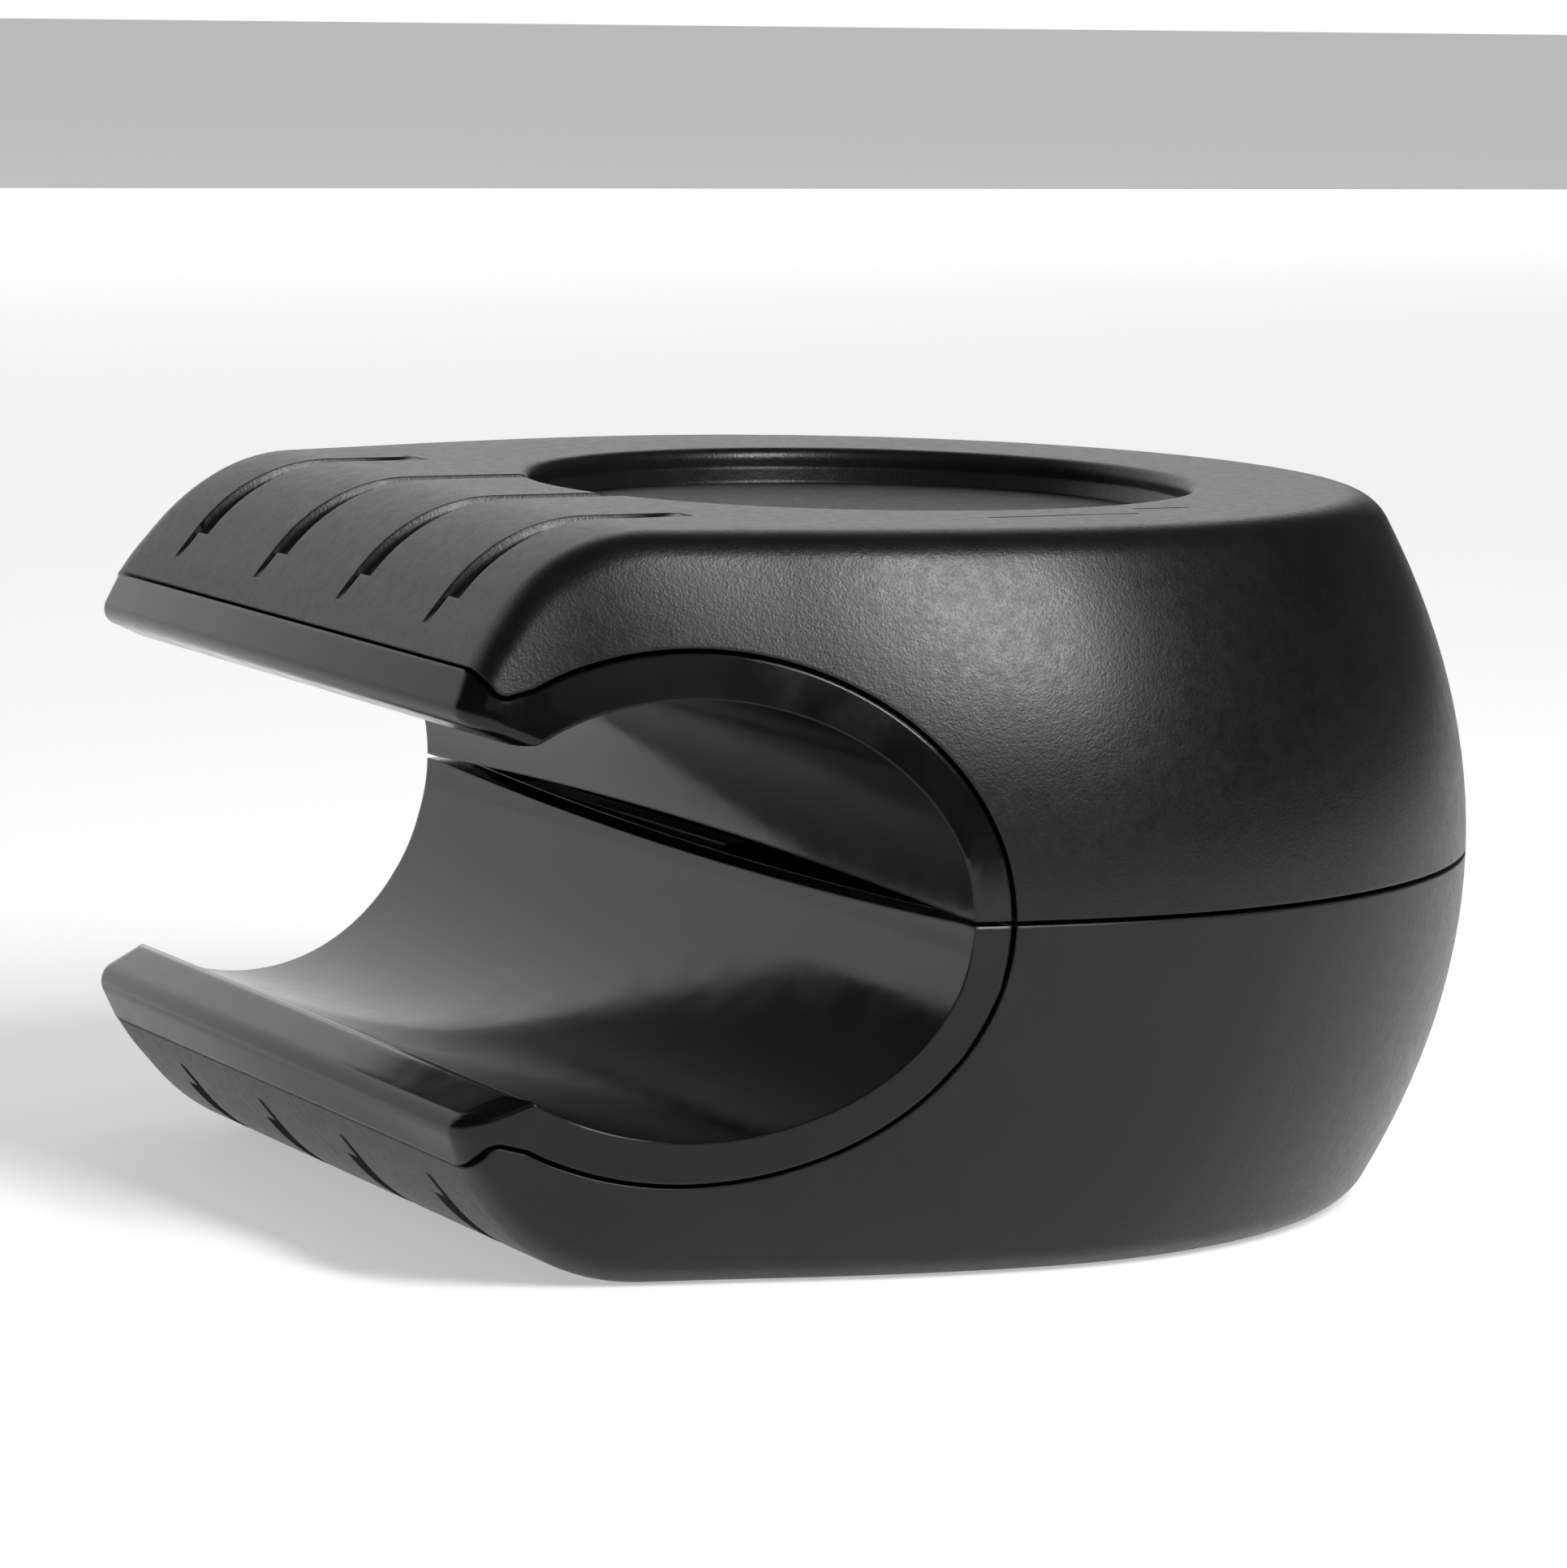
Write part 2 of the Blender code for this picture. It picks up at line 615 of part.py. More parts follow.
def liner_outline():
    outer = offset_path(seam_path(), -GAP / 2)
    inner = ellipse_arc(BORE_HALF_DEPTH, BORE_HALF_HEIGHT, 0.0, BORE_FRONT_ANGLE)
    below = -OVERSHOOT
    return [(inner[0][0], below), *inner, *lip_path()[1:-1], *outer, (outer[-1][0], below)]


def plan_outline(front, z):
    """Half of a plan outline at a height, from its rounded front corner back to the middle."""
    points = []
    for step in range(CORNER_STEPS + 1):
        angle = math.pi / 2 * step / CORNER_STEPS
        x = front + CORNER_RADIUS * (1 - math.cos(angle))
        points.append((x, CORNER_RADIUS * (math.sin(angle) - 1)))
    tangent_x = BACK_CENTRE_X - BACK_RADIUS * math.sin(SIDE_TAPER)
    beside = [(points[-1][0] + CORNER_START_X) / 2, CORNER_START_X, tangent_x, BACK_CENTRE_X]
    points += [(x, 0.0) for x in beside]
    rise = (z / BARREL_HEIGHT) ** 2
    return [(x, half_width(x) - side_sag(x) * rise + inward) for x, inward in points]


def liner_bounds(collection):
    """Space between the clip's sides, with front corners that follow the liner's lip."""
    lip = lip_path()
    tip = min(range(len(lip)), key=lambda index: lip[index][1])
    path = lip[tip:]
    path = [(path[0][0], -OVERSHOOT), *path, (path[-1][0], HALF_HEIGHT)]
    work = bmesh.new()
    rings = []
    for x, z in path:
        half = plan_outline(x - BOUNDS_MARGIN, z)
        ring = half + [(px, -py) for px, py in reversed(half)]
        rings.append([work.verts.new((px, py, z)) for px, py in ring])
    for ring, above in zip(rings, rings[1:]):
        for index in range(len(ring)):
            other = (index + 1) % len(ring)
            work.faces.new((ring[index], ring[other], above[other], above[index]))
    work.faces.new(rings[0])
    work.faces.new(list(reversed(rings[-1])))
    return add_object("liner_bounds", mesh_from_bmesh("liner_bounds", work), collection)


def boss_trim(collection):
    """The space around the tube, a little larger than the bore, that the bosses stay out of."""
    arc = ellipse_arc(BORE_HALF_DEPTH + BOSS_STEP, BORE_HALF_HEIGHT + BOSS_STEP, 0.0, math.pi)
    outline = [(arc[0][0], -OVERSHOOT), *arc, (arc[-1][0], -OVERSHOOT)]
    return extruded("boss_trim", outline, -REACH, REACH, collection)


def make_half_liner(collection):
    liner = extruded("half_liner", liner_outline(), -REACH, REACH, collection)
    keep_inside(liner, liner_bounds(collection))
    cut(liner, slot_cutter(collection))
    boss_top = dish_floor_bottom_z() - GAP
    for x, y in screw_places():
        boss = cylinder("boss", (x, y, (BOSS_BOTTOM_Z + boss_top) / 2), BOSS_RADIUS,
                        boss_top - BOSS_BOTTOM_Z, "Z", HOLE_SIDES, collection)
        cut(boss, boss_trim(collection))
        join(liner, boss)
    for x, y in screw_places():
        tip = screw_seat_z() - SCREW_LENGTH
        cut(liner, cylinder("pilot_hole", (x, y, tip + HOLE_LENGTH / 2), SCREW_RADIUS + GAP,
                            HOLE_LENGTH, "Z", HOLE_SIDES, collection))
    return liner


# ---------------------------------------------------------------- small pieces

def make_dish_plate(collection):
    top = HALF_HEIGHT - DISH_DEPTH
    bottom = top - PLATE_THICKNESS
    bevel = PLATE_BEVEL
    rings = 3
    hollow = [(PLATE_RADIUS * 0.9 * step / rings,
               top - PLATE_HOLLOW * (1 - (step / rings) ** 2)) for step in range(rings + 1)]
    profile = [*hollow, (PLATE_RADIUS - bevel, top), (PLATE_RADIUS, top - bevel),
               (PLATE_RADIUS, bottom), (0.0, bottom)]
    plate = turned("dish_plate", profile, CYLINDER_SIDES, collection)
    plate.data.transform(Matrix.Translation((DISH_X, 0.0, 0.0)))
    length = DISH_FLOOR_THICKNESS + GAP
    for x, y in plate_peg_places():
        join(plate, cylinder("peg", (x, y, bottom - length / 2 + GAP), PLATE_PEG_RADIUS,
                             length + 2 * GAP, "Z", HOLE_SIDES, collection))
    return plate


def make_liner_screw(collection):
    """A pan head screw pointing down, with its head's underside at z = 0."""
    head, socket = SCREW_HEAD_RADIUS, SCREW_SOCKET_RADIUS
    top = SCREW_HEAD_HEIGHT
    profile = [(0.0, top), (head - SCREW_BEVEL, top), (head, top - SCREW_BEVEL), (head, 0.0),
               (SCREW_RADIUS, 0.0), (SCREW_RADIUS, 2 * SCREW_BEVEL - SCREW_LENGTH),
               (0.0, -SCREW_LENGTH)]
    screw = turned("liner_screw", profile, HOLE_SIDES, collection)
    cut(screw, cylinder("socket", (0.0, 0.0, top), socket, SCREW_HEAD_HEIGHT, "Z", 6, collection))
    return screw


def make_hinge_pin(collection):
    """A straight pin along Z with a groove near each end, turned to lie along Y."""
    radius, groove = PIN_RADIUS, CLIP_GROOVE_RADIUS
    end, bevel = PIN_HALF_LENGTH, PIN_BEVEL
    low = CLIP_Y - CLIP_THICKNESS / 2 - GAP
    high = CLIP_Y + CLIP_THICKNESS / 2 + GAP
    upper = [(0.0, end), (radius - bevel, end), (radius, end - bevel), (radius, high),
             (groove, high), (groove, low), (radius, low)]
    profile = upper + [(r, -z) for r, z in reversed(upper)]
    pin = turned("hinge_pin", profile, PIN_SIDES, collection)
    pin.data.transform(Matrix.Rotation(math.pi / 2, 4, "X"))
    return pin


def make_hinge_clip(collection):
    """A C-shaped retaining clip in XZ, open towards -X, about the hinge axis."""
    outline = []
    for radius, forward in ((CLIP_RADIUS, True), (CLIP_INNER_RADIUS, False)):
        mouth = math.pi - math.asin(CLIP_MOUTH_WIDTH / 2 / radius)
        steps = 16
        arc = [(radius * math.cos(a), radius * math.sin(a))
               for a in (mouth - 2 * mouth * step / steps for step in range(steps + 1))]
        outline += arc if forward else list(reversed(arc))
    half = CLIP_THICKNESS / 2
    return extruded("hinge_clip", outline, -half, half, collection)


def spring_route():
    """Centre line of a torsion spring about the hinge axis, from its upper to its lower hook."""
    y_high_leg = SPRING_Y[0] + SPRING_WIRE_RADIUS
    y_low_leg = SPRING_Y[1] - SPRING_WIRE_RADIUS
    arm = Vector((SPRING_HOOK_X - HINGE_X, SPRING_HOOK_Z))
    reach = math.acos(SPRING_COIL_RADIUS / arm.length)
    start = math.atan2(arm.y, arm.x) - reach
    sweep = 2 * start + 2 * math.pi * SPRING_WHOLE_TURNS
    steps = round(sweep / math.radians(30.0))
    coil = []
    for step in range(steps + 1):
        angle = start - sweep * step / steps
        coil.append((SPRING_COIL_RADIUS * math.cos(angle),
                     y_high_leg + (y_low_leg - y_high_leg) * step / steps,
                     SPRING_COIL_RADIUS * math.sin(angle)))
    bend, hook_out = SPRING_BEND, -SPRING_HOOK_DEPTH
    upper = [(arm.x, y_high_leg + hook_out, arm.y), (arm.x, y_high_leg - bend, arm.y),
             (arm.x + bend, y_high_leg, arm.y)]
    lower = [(arm.x + bend, y_low_leg, -arm.y), (arm.x, y_low_leg + bend, -arm.y),
             (arm.x, y_low_leg - hook_out, -arm.y)]
    return upper + coil + lower


def make_spring(collection):
    curve = bpy.data.curves.new("jaw_spring", "CURVE")
    curve.dimensions = "3D"
    curve.bevel_depth = SPRING_WIRE_RADIUS
    curve.bevel_resolution = 2
    curve.use_fill_caps = True
    route = spring_route()
    spline = curve.splines.new("POLY")
    spline.points.add(len(route) - 1)
    for point, place in zip(spline.points, route):
        point.co = (*place, 1.0)
    item = bpy.data.objects.new("jaw_spring_wire", curve)
    collection.objects.link(item)
    mesh = evaluated_mesh(item)
    bpy.data.objects.remove(item, do_unlink=True)
    return add_object("jaw_spring_pattern", mesh, collection)


# ---------------------------------------------------------------- assembly

def take_mesh(pattern, material):
    """The finished mesh of a pattern object, with its material. The pattern is used up."""
    mesh = pattern.data
    mesh.materials.clear()
    mesh.materials.append(material)
    mesh.shade_smooth()
    mesh.set_sharp_from_angle(angle=math.radians(32.0))
    bpy.data.objects.remove(pattern, do_unlink=True)
    return mesh


def place(name, mesh, collection, parent, matrix):
    item = add_object(name, mesh, collection)
    item.parent = parent
    item.matrix_world = matrix
    return item


def make_body(name, axis_point, collection):
    empty = bpy.data.objects.new(name, None)
    empty.location = axis_point
    collection.objects.link(empty)
    return empty


def build():
    clear_scene()
    parts = make_collection(BODY_COLLECTION)
    patterns = make_collection(CUTTER_COLLECTION)

    shell_plastic = make_material("textured_nylon", (0.035, 0.035, 0.036), 0.62)
    liner_plastic = make_material("smooth_acetal", (0.022, 0.022, 0.023), 0.28)
    plate_plastic = make_material("plate_nylon", (0.04, 0.04, 0.041), 0.5)
    screw_steel = make_material("screw_steel", (0.55, 0.55, 0.56), 0.35, 1.0)
    pin_steel = make_material("pin_steel", (0.62, 0.62, 0.63), 0.25, 1.0)
    spring_steel = make_material("spring_steel", (0.45, 0.45, 0.47), 0.3, 1.0)

    shell = take_mesh(make_half_shell(patterns), shell_plastic)
    liner = take_mesh(make_half_liner(patterns), liner_plastic)
    plate = take_mesh(make_dish_plate(patterns), plate_plastic)
    screw = take_mesh(make_liner_screw(patterns), screw_steel)
    pin = take_mesh(make_hinge_pin(patterns), pin_steel)
    clip = take_mesh(make_hinge_clip(patterns), pin_steel)
    spring = take_mesh(make_spring(patterns), spring_steel)

    axis_point = Vector((HINGE_X, 0.0, HALF_HEIGHT))
    lower_jaw = make_body("lower_jaw", axis_point, parts)
    upper_jaw = make_body("upper_jaw", axis_point, parts)
    bpy.context.view_layer.update()

    upright = Matrix.Translation((0.0, 0.0, HALF_HEIGHT))
    turned_over = upright @ Matrix.Rotation(math.pi, 4, "X")
    for side, body, frame in (("lower", lower_jaw, turned_over), ("upper", upper_jaw, upright)):
        place(f"{side}_shell", shell, parts, body, frame)
        place(f"{side}_liner", liner, parts, body, frame)
        place(f"{side}_dish_plate", plate, parts, body, frame)
        for number, (x, y) in enumerate(screw_places(), start=1):
            seat = Matrix.Translation((x, y, screw_seat_z() + GAP))
            place(f"{side}_liner_screw_{number}", screw, parts, body, frame @ seat)

    on_axis = Matrix.Translation(axis_point)
    place("hinge_pin", pin, parts, lower_jaw, on_axis)
    for name, y in (("hinge_clip_left", -CLIP_Y), ("hinge_clip_right", CLIP_Y)):
        place(name, clip, parts, lower_jaw, on_axis @ Matrix.Translation((0.0, y, 0.0)))
    spacing = KNUCKLE_Y[1][1] - KNUCKLE_Y[0][1]
    for name, shift in (("jaw_spring_left", 0.0), ("jaw_spring_right", spacing)):
        place(name, spring, parts, lower_jaw, on_axis @ Matrix.Translation((0.0, shift, 0.0)))


build()
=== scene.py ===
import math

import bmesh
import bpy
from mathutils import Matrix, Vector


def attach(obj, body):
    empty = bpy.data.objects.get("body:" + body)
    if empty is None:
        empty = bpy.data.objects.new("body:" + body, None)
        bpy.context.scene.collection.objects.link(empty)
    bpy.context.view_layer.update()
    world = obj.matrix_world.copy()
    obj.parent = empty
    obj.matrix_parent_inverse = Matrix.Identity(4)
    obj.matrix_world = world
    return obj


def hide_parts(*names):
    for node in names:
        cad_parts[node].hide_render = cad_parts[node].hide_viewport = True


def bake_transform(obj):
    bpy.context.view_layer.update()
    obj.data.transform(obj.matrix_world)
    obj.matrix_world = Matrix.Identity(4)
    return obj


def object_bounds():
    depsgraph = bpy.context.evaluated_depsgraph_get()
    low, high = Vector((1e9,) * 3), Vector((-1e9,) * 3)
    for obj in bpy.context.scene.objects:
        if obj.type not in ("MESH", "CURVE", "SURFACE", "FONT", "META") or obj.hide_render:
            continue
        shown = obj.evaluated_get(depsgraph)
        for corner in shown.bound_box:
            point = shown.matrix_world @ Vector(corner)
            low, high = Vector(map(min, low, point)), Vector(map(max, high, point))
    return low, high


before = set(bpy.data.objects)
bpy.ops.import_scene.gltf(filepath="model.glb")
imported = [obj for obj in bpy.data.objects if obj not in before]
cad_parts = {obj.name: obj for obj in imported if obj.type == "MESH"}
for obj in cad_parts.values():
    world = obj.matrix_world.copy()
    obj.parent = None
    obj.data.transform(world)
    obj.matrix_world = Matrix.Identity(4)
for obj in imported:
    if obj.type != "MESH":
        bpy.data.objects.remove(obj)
CAD_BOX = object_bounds()

# Looks of the spring-jaw tube clip. The moulded shells, the liners and the dish plates are made
# again here with fine curves, rounded edges and surface marks, and stand for their CAD nodes. The
# springs are copies of their CAD meshes. The pin, clips and screws keep their CAD meshes and get
# materials.
#
# A half is modelled as the upper one, with z = 0 on the parting plane, and x from the mouth (-X)
# to the hinge (+X). The lower half is the same mesh turned half a turn about X.

MM = 0.001

# ---------------------------------------------------------------- dimensions
# Most are the CAD's. The side bow, the front corners, the ribs and the spine are fitted closer to
# the photograph than the CAD's are, and the top marks are only here.
HALF_LENGTH = 40.5 * MM
HALF_HEIGHT = CAD_BOX[1].z / 2
BACK_RADIUS = 40.7 * MM
BACK_CENTRE_X = HALF_LENGTH - BACK_RADIUS
BOW_START_ANGLE = math.radians(6.0)
BOW_START_X = BACK_CENTRE_X - BACK_RADIUS * math.sin(BOW_START_ANGLE)
BOW_END_ANGLE = math.radians(23.0)
BOW_END_X = -33.0 * MM
FLARE = 0.025 / MM
BARREL_SAG = 5.2 * MM
BARREL_HEIGHT = 20.0 * MM
EDGE_RADIUS = 3.2 * MM
PARTING_GAP = 0.3 * MM
GAP = 0.3 * MM
WELD = 0.0001 * MM
BOUNDS_MARGIN = 0.03 * MM
OVERSHOOT = 2 * MM
SMALL_OVERSHOOT = 1 * MM
CUTTER_HALF_WIDTH = 45 * MM
BORE_CUTTER_HALF_WIDTH = 50 * MM
BORE_CUTTER_FRONT = 5 * MM
WALL = 2.4 * MM
CAVITY_LAST_STATION = 10 * MM

FRONT_X = -40.5 * MM
NOSE_FOOT = (-41.0 * MM, 12.5 * MM)
NOSE_CORNER = (-38.5 * MM, 16.5 * MM)
NOSE_RADIUS = 10.0 * MM
BROW_X = -33.3 * MM
BROW_RADIUS = 12.0 * MM
CORNER_RADIUS = 2.4 * MM
CORNER_START_X = -20.0 * MM
CORNER_END_X = -38.5 * MM
CORNER_SAG_SHARE = 0.75
CORNER_EDGE_RADIUS = 3.0 * MM

BORE_X = -27.2 * MM
BORE_HALF_DEPTH = 15.4 * MM
BORE_HALF_HEIGHT = 13.2 * MM
BORE_FRONT_ANGLE = math.radians(127.0)
SEAM_HALF_DEPTH = 17.8 * MM
SEAM_HALF_HEIGHT = 16.0 * MM
SEAM_FRONT_ANGLE = math.radians(121.0)
SEAM_HOOK = (-38.5 * MM, 13.15 * MM)
SEAM_HOOK_RADIUS = 0.9 * MM
SEAM_FRONT = (-39.56 * MM, 14.85 * MM)
LIP_TIP = (-37.4 * MM, 10.4 * MM)
LIP_FRONT = (-40.9 * MM, 11.9 * MM)
LIP_RADII = (0.5 * MM, 1.2 * MM)
LINER_LOW_HEIGHTS = (-2 * MM, 4 * MM, 8 * MM)
LINER_TOP_SPARE = 1.5 * MM
SLOT_HALF_LENGTH = 37.5 * MM
SLOT_HALF_HEIGHT = 1.05 * MM
SLOT_STEPS = 96
SLOT_CUTTER_HALF_LENGTH = 50 * MM
SLOT_CUTTER_BOTTOM = 5 * MM
SLOT_CUTTER_HALF_DEPTH = 10 * MM

DISH_X = 0.8 * MM
DISH_RADIUS = 21.4 * MM
DISH_DEPTH = 2.2 * MM
DISH_RIM_ROUND = 0.8 * MM
PLATE_RADIUS = 20.2 * MM
PLATE_THICKNESS = 1.6 * MM
PLATE_HOLLOW = 0.5 * MM
DISH_FLOOR_THICKNESS = 2.8 * MM
DISH_STEP_SHARE = 0.6
DISH_STEP_WIDTH = 0.2 * MM
DISH_RIM_STEPS = 8
DISH_BOSS_LENGTH = 20 * MM
PLATE_BEVEL = 0.4 * MM
PLATE_BEVEL_STEPS = 4
PLATE_HOLLOW_SHARE = 0.9
PLATE_HOLLOW_RINGS = 12
PLATE_PEG_RADIUS = 1.4 * MM
PLATE_PEG_CIRCLE = 13.0 * MM
PLATE_PEG_ANGLES = (0.0, math.radians(100.0), math.radians(-100.0))
HOLE_LENGTH = 12.0 * MM

SCREW_CIRCLE_RADIUS = 17.2 * MM
SCREW_Y = (-11.5 * MM, -4.0 * MM, 4.0 * MM, 11.5 * MM)
SCREW_RADIUS = 1.2 * MM
SCREW_HEAD_RADIUS = 2.5 * MM
SCREW_HEAD_HEIGHT = 1.2 * MM
SPRING_WIRE_RADIUS = 0.45 * MM
SPRING_HOOK_X = 23.9 * MM
SPRING_HOOK_Z = 4.5 * MM

GROOVE_Y = (-19.5 * MM, -6.5 * MM, 6.5 * MM, 19.5 * MM)
GROOVE_START_X = -37.1 * MM
GROOVE_TAIL_X = -38.4 * MM
GROOVE_END_X = -21.5 * MM
GROOVE_DEPTH = 1.0 * MM
GROOVE_WIDTH = 2.3 * MM
GROOVE_TAIL_WIDTH = 0.8 * MM
GROOVE_TAIL_OVERLAP = 0.5 * MM
GROOVE_DISH_OVERLAP = 2 * MM
# Shares of the groove's width across it, with heights above the surface as shares of its depth
GROOVE_SHAPE = ((-0.05, 0.4), (0.0, 0.0), (0.05, -0.45), (0.12, -0.75), (0.22, -0.93),
                (0.35, -1.0), (0.5, -1.0), (0.65, -0.95), (0.78, -0.85), (0.88, -0.7),
                (0.95, -0.48), (1.0, 0.0), (1.04, 0.4))
OUTER_GROOVE_STEPS = 70
MIDDLE_GROOVE_STEPS = 64
GROOVE_TAIL_STEPS = 16

TOP_MARKS = (((-4.2 * MM, -26.2 * MM), (6.4 * MM, -25.9 * MM)),
             ((7.6 * MM, -23.6 * MM), (11.6 * MM, -23.3 * MM)))
MARK_DEPTH = 0.2 * MM

RIB_THICKNESS = 1.6 * MM
RIB_BOTTOM_Z = 3.5 * MM
RIB_Y = (-26.0 * MM, -17.0 * MM, -7.75 * MM, 0.0, 7.75 * MM, 17.0 * MM, 26.0 * MM)
RIB_BACK_X = -4.6 * MM
SPINE_X = -7.1 * MM
SPINE_BOTTOM_Z = 1.0 * MM
SPINE_Y = (-32.0 * MM, -1.0 * MM)

HINGE_X = 33.6 * MM
OPENING_ANGLE = math.radians(6.0)
RELIEF_SPARE_ANGLE = math.radians(0.2)
KNUCKLE_CLEARANCE = 0.4 * MM
KNUCKLE_RADIUS = 3.4 * MM
KNUCKLE_Y = ((-10.5 * MM, -7.5 * MM), (0.2 * MM, 3.1 * MM))
KNUCKLE_SIDE_GAP = 0.25 * MM
KNUCKLE_STEP = 0.15 * MM
KNUCKLE_WEB_X = 20.4 * MM
PIN_RADIUS = 1.6 * MM
PIN_HALF_LENGTH = 12.7 * MM

# Fineness
FAN_STEPS = 120
ACROSS_STEPS = 14
SIDE_STEPS = 14
EDGE_STEPS = 9
LEAN_ROUNDS = 6
CORNER_STEPS = 12
SIDE_STATIONS = 36
BOW_STATIONS = 8
LIP_STEP = 0.4 * MM
LIP_ARC_STEP = math.radians(10.0)
ARC_STEP = math.radians(4.0)
ELLIPSE_STEPS = 96
ROUND_SIDES = 144
STATION_STEP = 0.9 * MM

work_collection = bpy.data.collections.new("clip_work")
bpy.context.scene.collection.children.link(work_collection)


# ---------------------------------------------------------------- mesh helpers

def add_object(name, mesh):
    item = bpy.data.objects.new(name, mesh)
    work_collection.objects.link(item)
    return item


def object_from(name, verts, faces):
    mesh = bpy.data.meshes.new(name)
    mesh.from_pydata([tuple(v) for v in verts], [], faces)
    work = bmesh.new()
    work.from_mesh(mesh)
    bmesh.ops.remove_doubles(work, verts=work.verts, dist=WELD)
    bmesh.ops.recalc_face_normals(work, faces=work.faces)
    work.to_mesh(mesh)
    work.free()
    return add_object(name, mesh)


def boolean(item, cutters, operation="DIFFERENCE"):
    """Combines item with one or more solids, which are used up."""
    group = bpy.data.collections.new("cutters")
    for cutter in cutters:
        group.objects.link(cutter)
    modifier = item.modifiers.new("boolean", "BOOLEAN")
    modifier.operation = operation
    modifier.solver = "EXACT"
    modifier.operand_type = "COLLECTION"
    modifier.collection = group
    modifier.use_self = len(cutters) > 1
    bpy.context.view_layer.update()
    depsgraph = bpy.context.evaluated_depsgraph_get()
    mesh = bpy.data.meshes.new_from_object(item.evaluated_get(depsgraph))
    item.modifiers.remove(modifier)
    item.data = mesh
    work = bmesh.new()
    work.from_mesh(mesh)
    bmesh.ops.remove_doubles(work, verts=work.verts, dist=WELD)
    work.to_mesh(mesh)
    work.free()
    for cutter in cutters:
        bpy.data.objects.remove(cutter, do_unlink=True)
    bpy.data.collections.remove(group)


def rounded(points, radii, arc_step=ARC_STEP):
    """A path through points whose inner corners are replaced by arcs of the given radii."""
    path = [points[0]]
    for before, corner, after, radius in zip(points, points[1:], points[2:], radii):
        corner = Vector(corner)
        inward = (Vector(before) - corner).normalized()
        outward = (Vector(after) - corner).normalized()
        half_turn = inward.angle(outward) / 2
        bisector = (inward + outward).normalized()
        centre = corner + bisector * (radius / math.sin(half_turn))
        start = corner + inward * (radius / math.tan(half_turn)) - centre
        end = corner + outward * (radius / math.tan(half_turn)) - centre
        turn = math.atan2(start.x * end.y - start.y * end.x, start.dot(end))
        steps = max(2, round(abs(turn) / arc_step))
        for step in range(steps + 1):
            angle = turn * step / steps
            cosine, sine = math.cos(angle), math.sin(angle)
            path.append((centre.x + start.x * cosine - start.y * sine,
                         centre.y + start.x * sine + start.y * cosine))
    path.append(points[-1])
    return path


def offset_path(path, distance):
    moved = []
    for index, point in enumerate(path):
        before = Vector(path[max(index - 1, 0)])
        after = Vector(path[min(index + 1, len(path) - 1)])
        along = (after - before).normalized()
        moved.append((point[0] - along.y * distance, point[1] + along.x * distance))
    return moved


def resampled(path, longest):
    """The path with extra points on every stretch longer than this."""
    dense = [path[0]]
    for start, end in zip(path, path[1:]):
        span = (Vector(end) - Vector(start)).length
        pieces = max(1, math.ceil(span / longest))
        for piece in range(1, pieces + 1):
            share = piece / pieces
            dense.append(tuple(a + (b - a) * share for a, b in zip(start, end)))
    return dense


def interpolate(path, x):
    for (x0, z0), (x1, z1) in zip(path, path[1:]):
        if x <= x1:
            return z0 + (z1 - z0) * max(x - x0, 0.0) / max(x1 - x0, 1e-9)
    return path[-1][1]


def ellipse_arc(half_depth, half_height, start, end, steps=ELLIPSE_STEPS):
    angles = [start + (end - start) * step / steps for step in range(steps + 1)]
    return [(BORE_X + half_depth * math.cos(a), half_height * math.sin(a)) for a in angles]


def box(low, high):
    corners = [(x, y, z) for x in (low[0], high[0]) for y in (low[1], high[1])
               for z in (low[2], high[2])]
    faces = [(0, 1, 3, 2), (4, 6, 7, 5), (0, 4, 5, 1), (2, 3, 7, 6), (0, 2, 6, 4), (1, 5, 7, 3)]
    return object_from("box", corners, faces)


def extruded(outline, y_low, y_high):
    """A solid whose outline in XZ is carried along Y."""
    count = len(outline)
    verts = [(x, y, z) for y in (y_low, y_high) for x, z in outline]
    faces = [tuple(range(count)), tuple(range(2 * count - 1, count - 1, -1))]
    faces += [(i, (i + 1) % count, count + (i + 1) % count, count + i) for i in range(count)]
    return object_from("extruded", verts, faces)


def turned(profile, centre, sides=ROUND_SIDES):
    """A solid of revolution about Z. Its profile, (radius, z), starts and ends on the axis."""
    verts, faces = [], []
    rings = profile[1:-1]
    for radius, z in rings:
        verts += [(centre[0] + radius * math.cos(a), centre[1] + radius * math.sin(a), z)
                  for a in (2 * math.pi * side / sides for side in range(sides))]
    top, bottom = len(verts), len(verts) + 1
    verts += [(*centre, profile[0][1]), (*centre, profile[-1][1])]
    for side in range(sides):
        other = (side + 1) % sides
        faces.append((top, side, other))
        for ring in range(len(rings) - 1):
            base = ring * sides
            faces.append((base + side, base + sides + side, base + sides + other, base + other))
        last = (len(rings) - 1) * sides
        faces.append((last + other, last + side, bottom))
    return object_from("turned", verts, faces)


def cylinder(centre, radius, length, axis="Y", sides=48):
    half = length / 2
    profile = [(0.0, half), (radius, half), (radius, -half), (0.0, -half)]
    item = turned(profile, (0.0, 0.0), sides)
    if axis == "Y":
        item.data.transform(Matrix.Rotation(math.pi / 2, 4, "X"))
    item.data.transform(Matrix.Translation(centre))
    return item


# ---------------------------------------------------------------- the half shell

def nose_profile(arc_step=ARC_STEP):
    points = [NOSE_FOOT, NOSE_CORNER, (BROW_X, HALF_HEIGHT), (BACK_CENTRE_X, HALF_HEIGHT)]
    return rounded(points, [NOSE_RADIUS, BROW_RADIUS], arc_step)


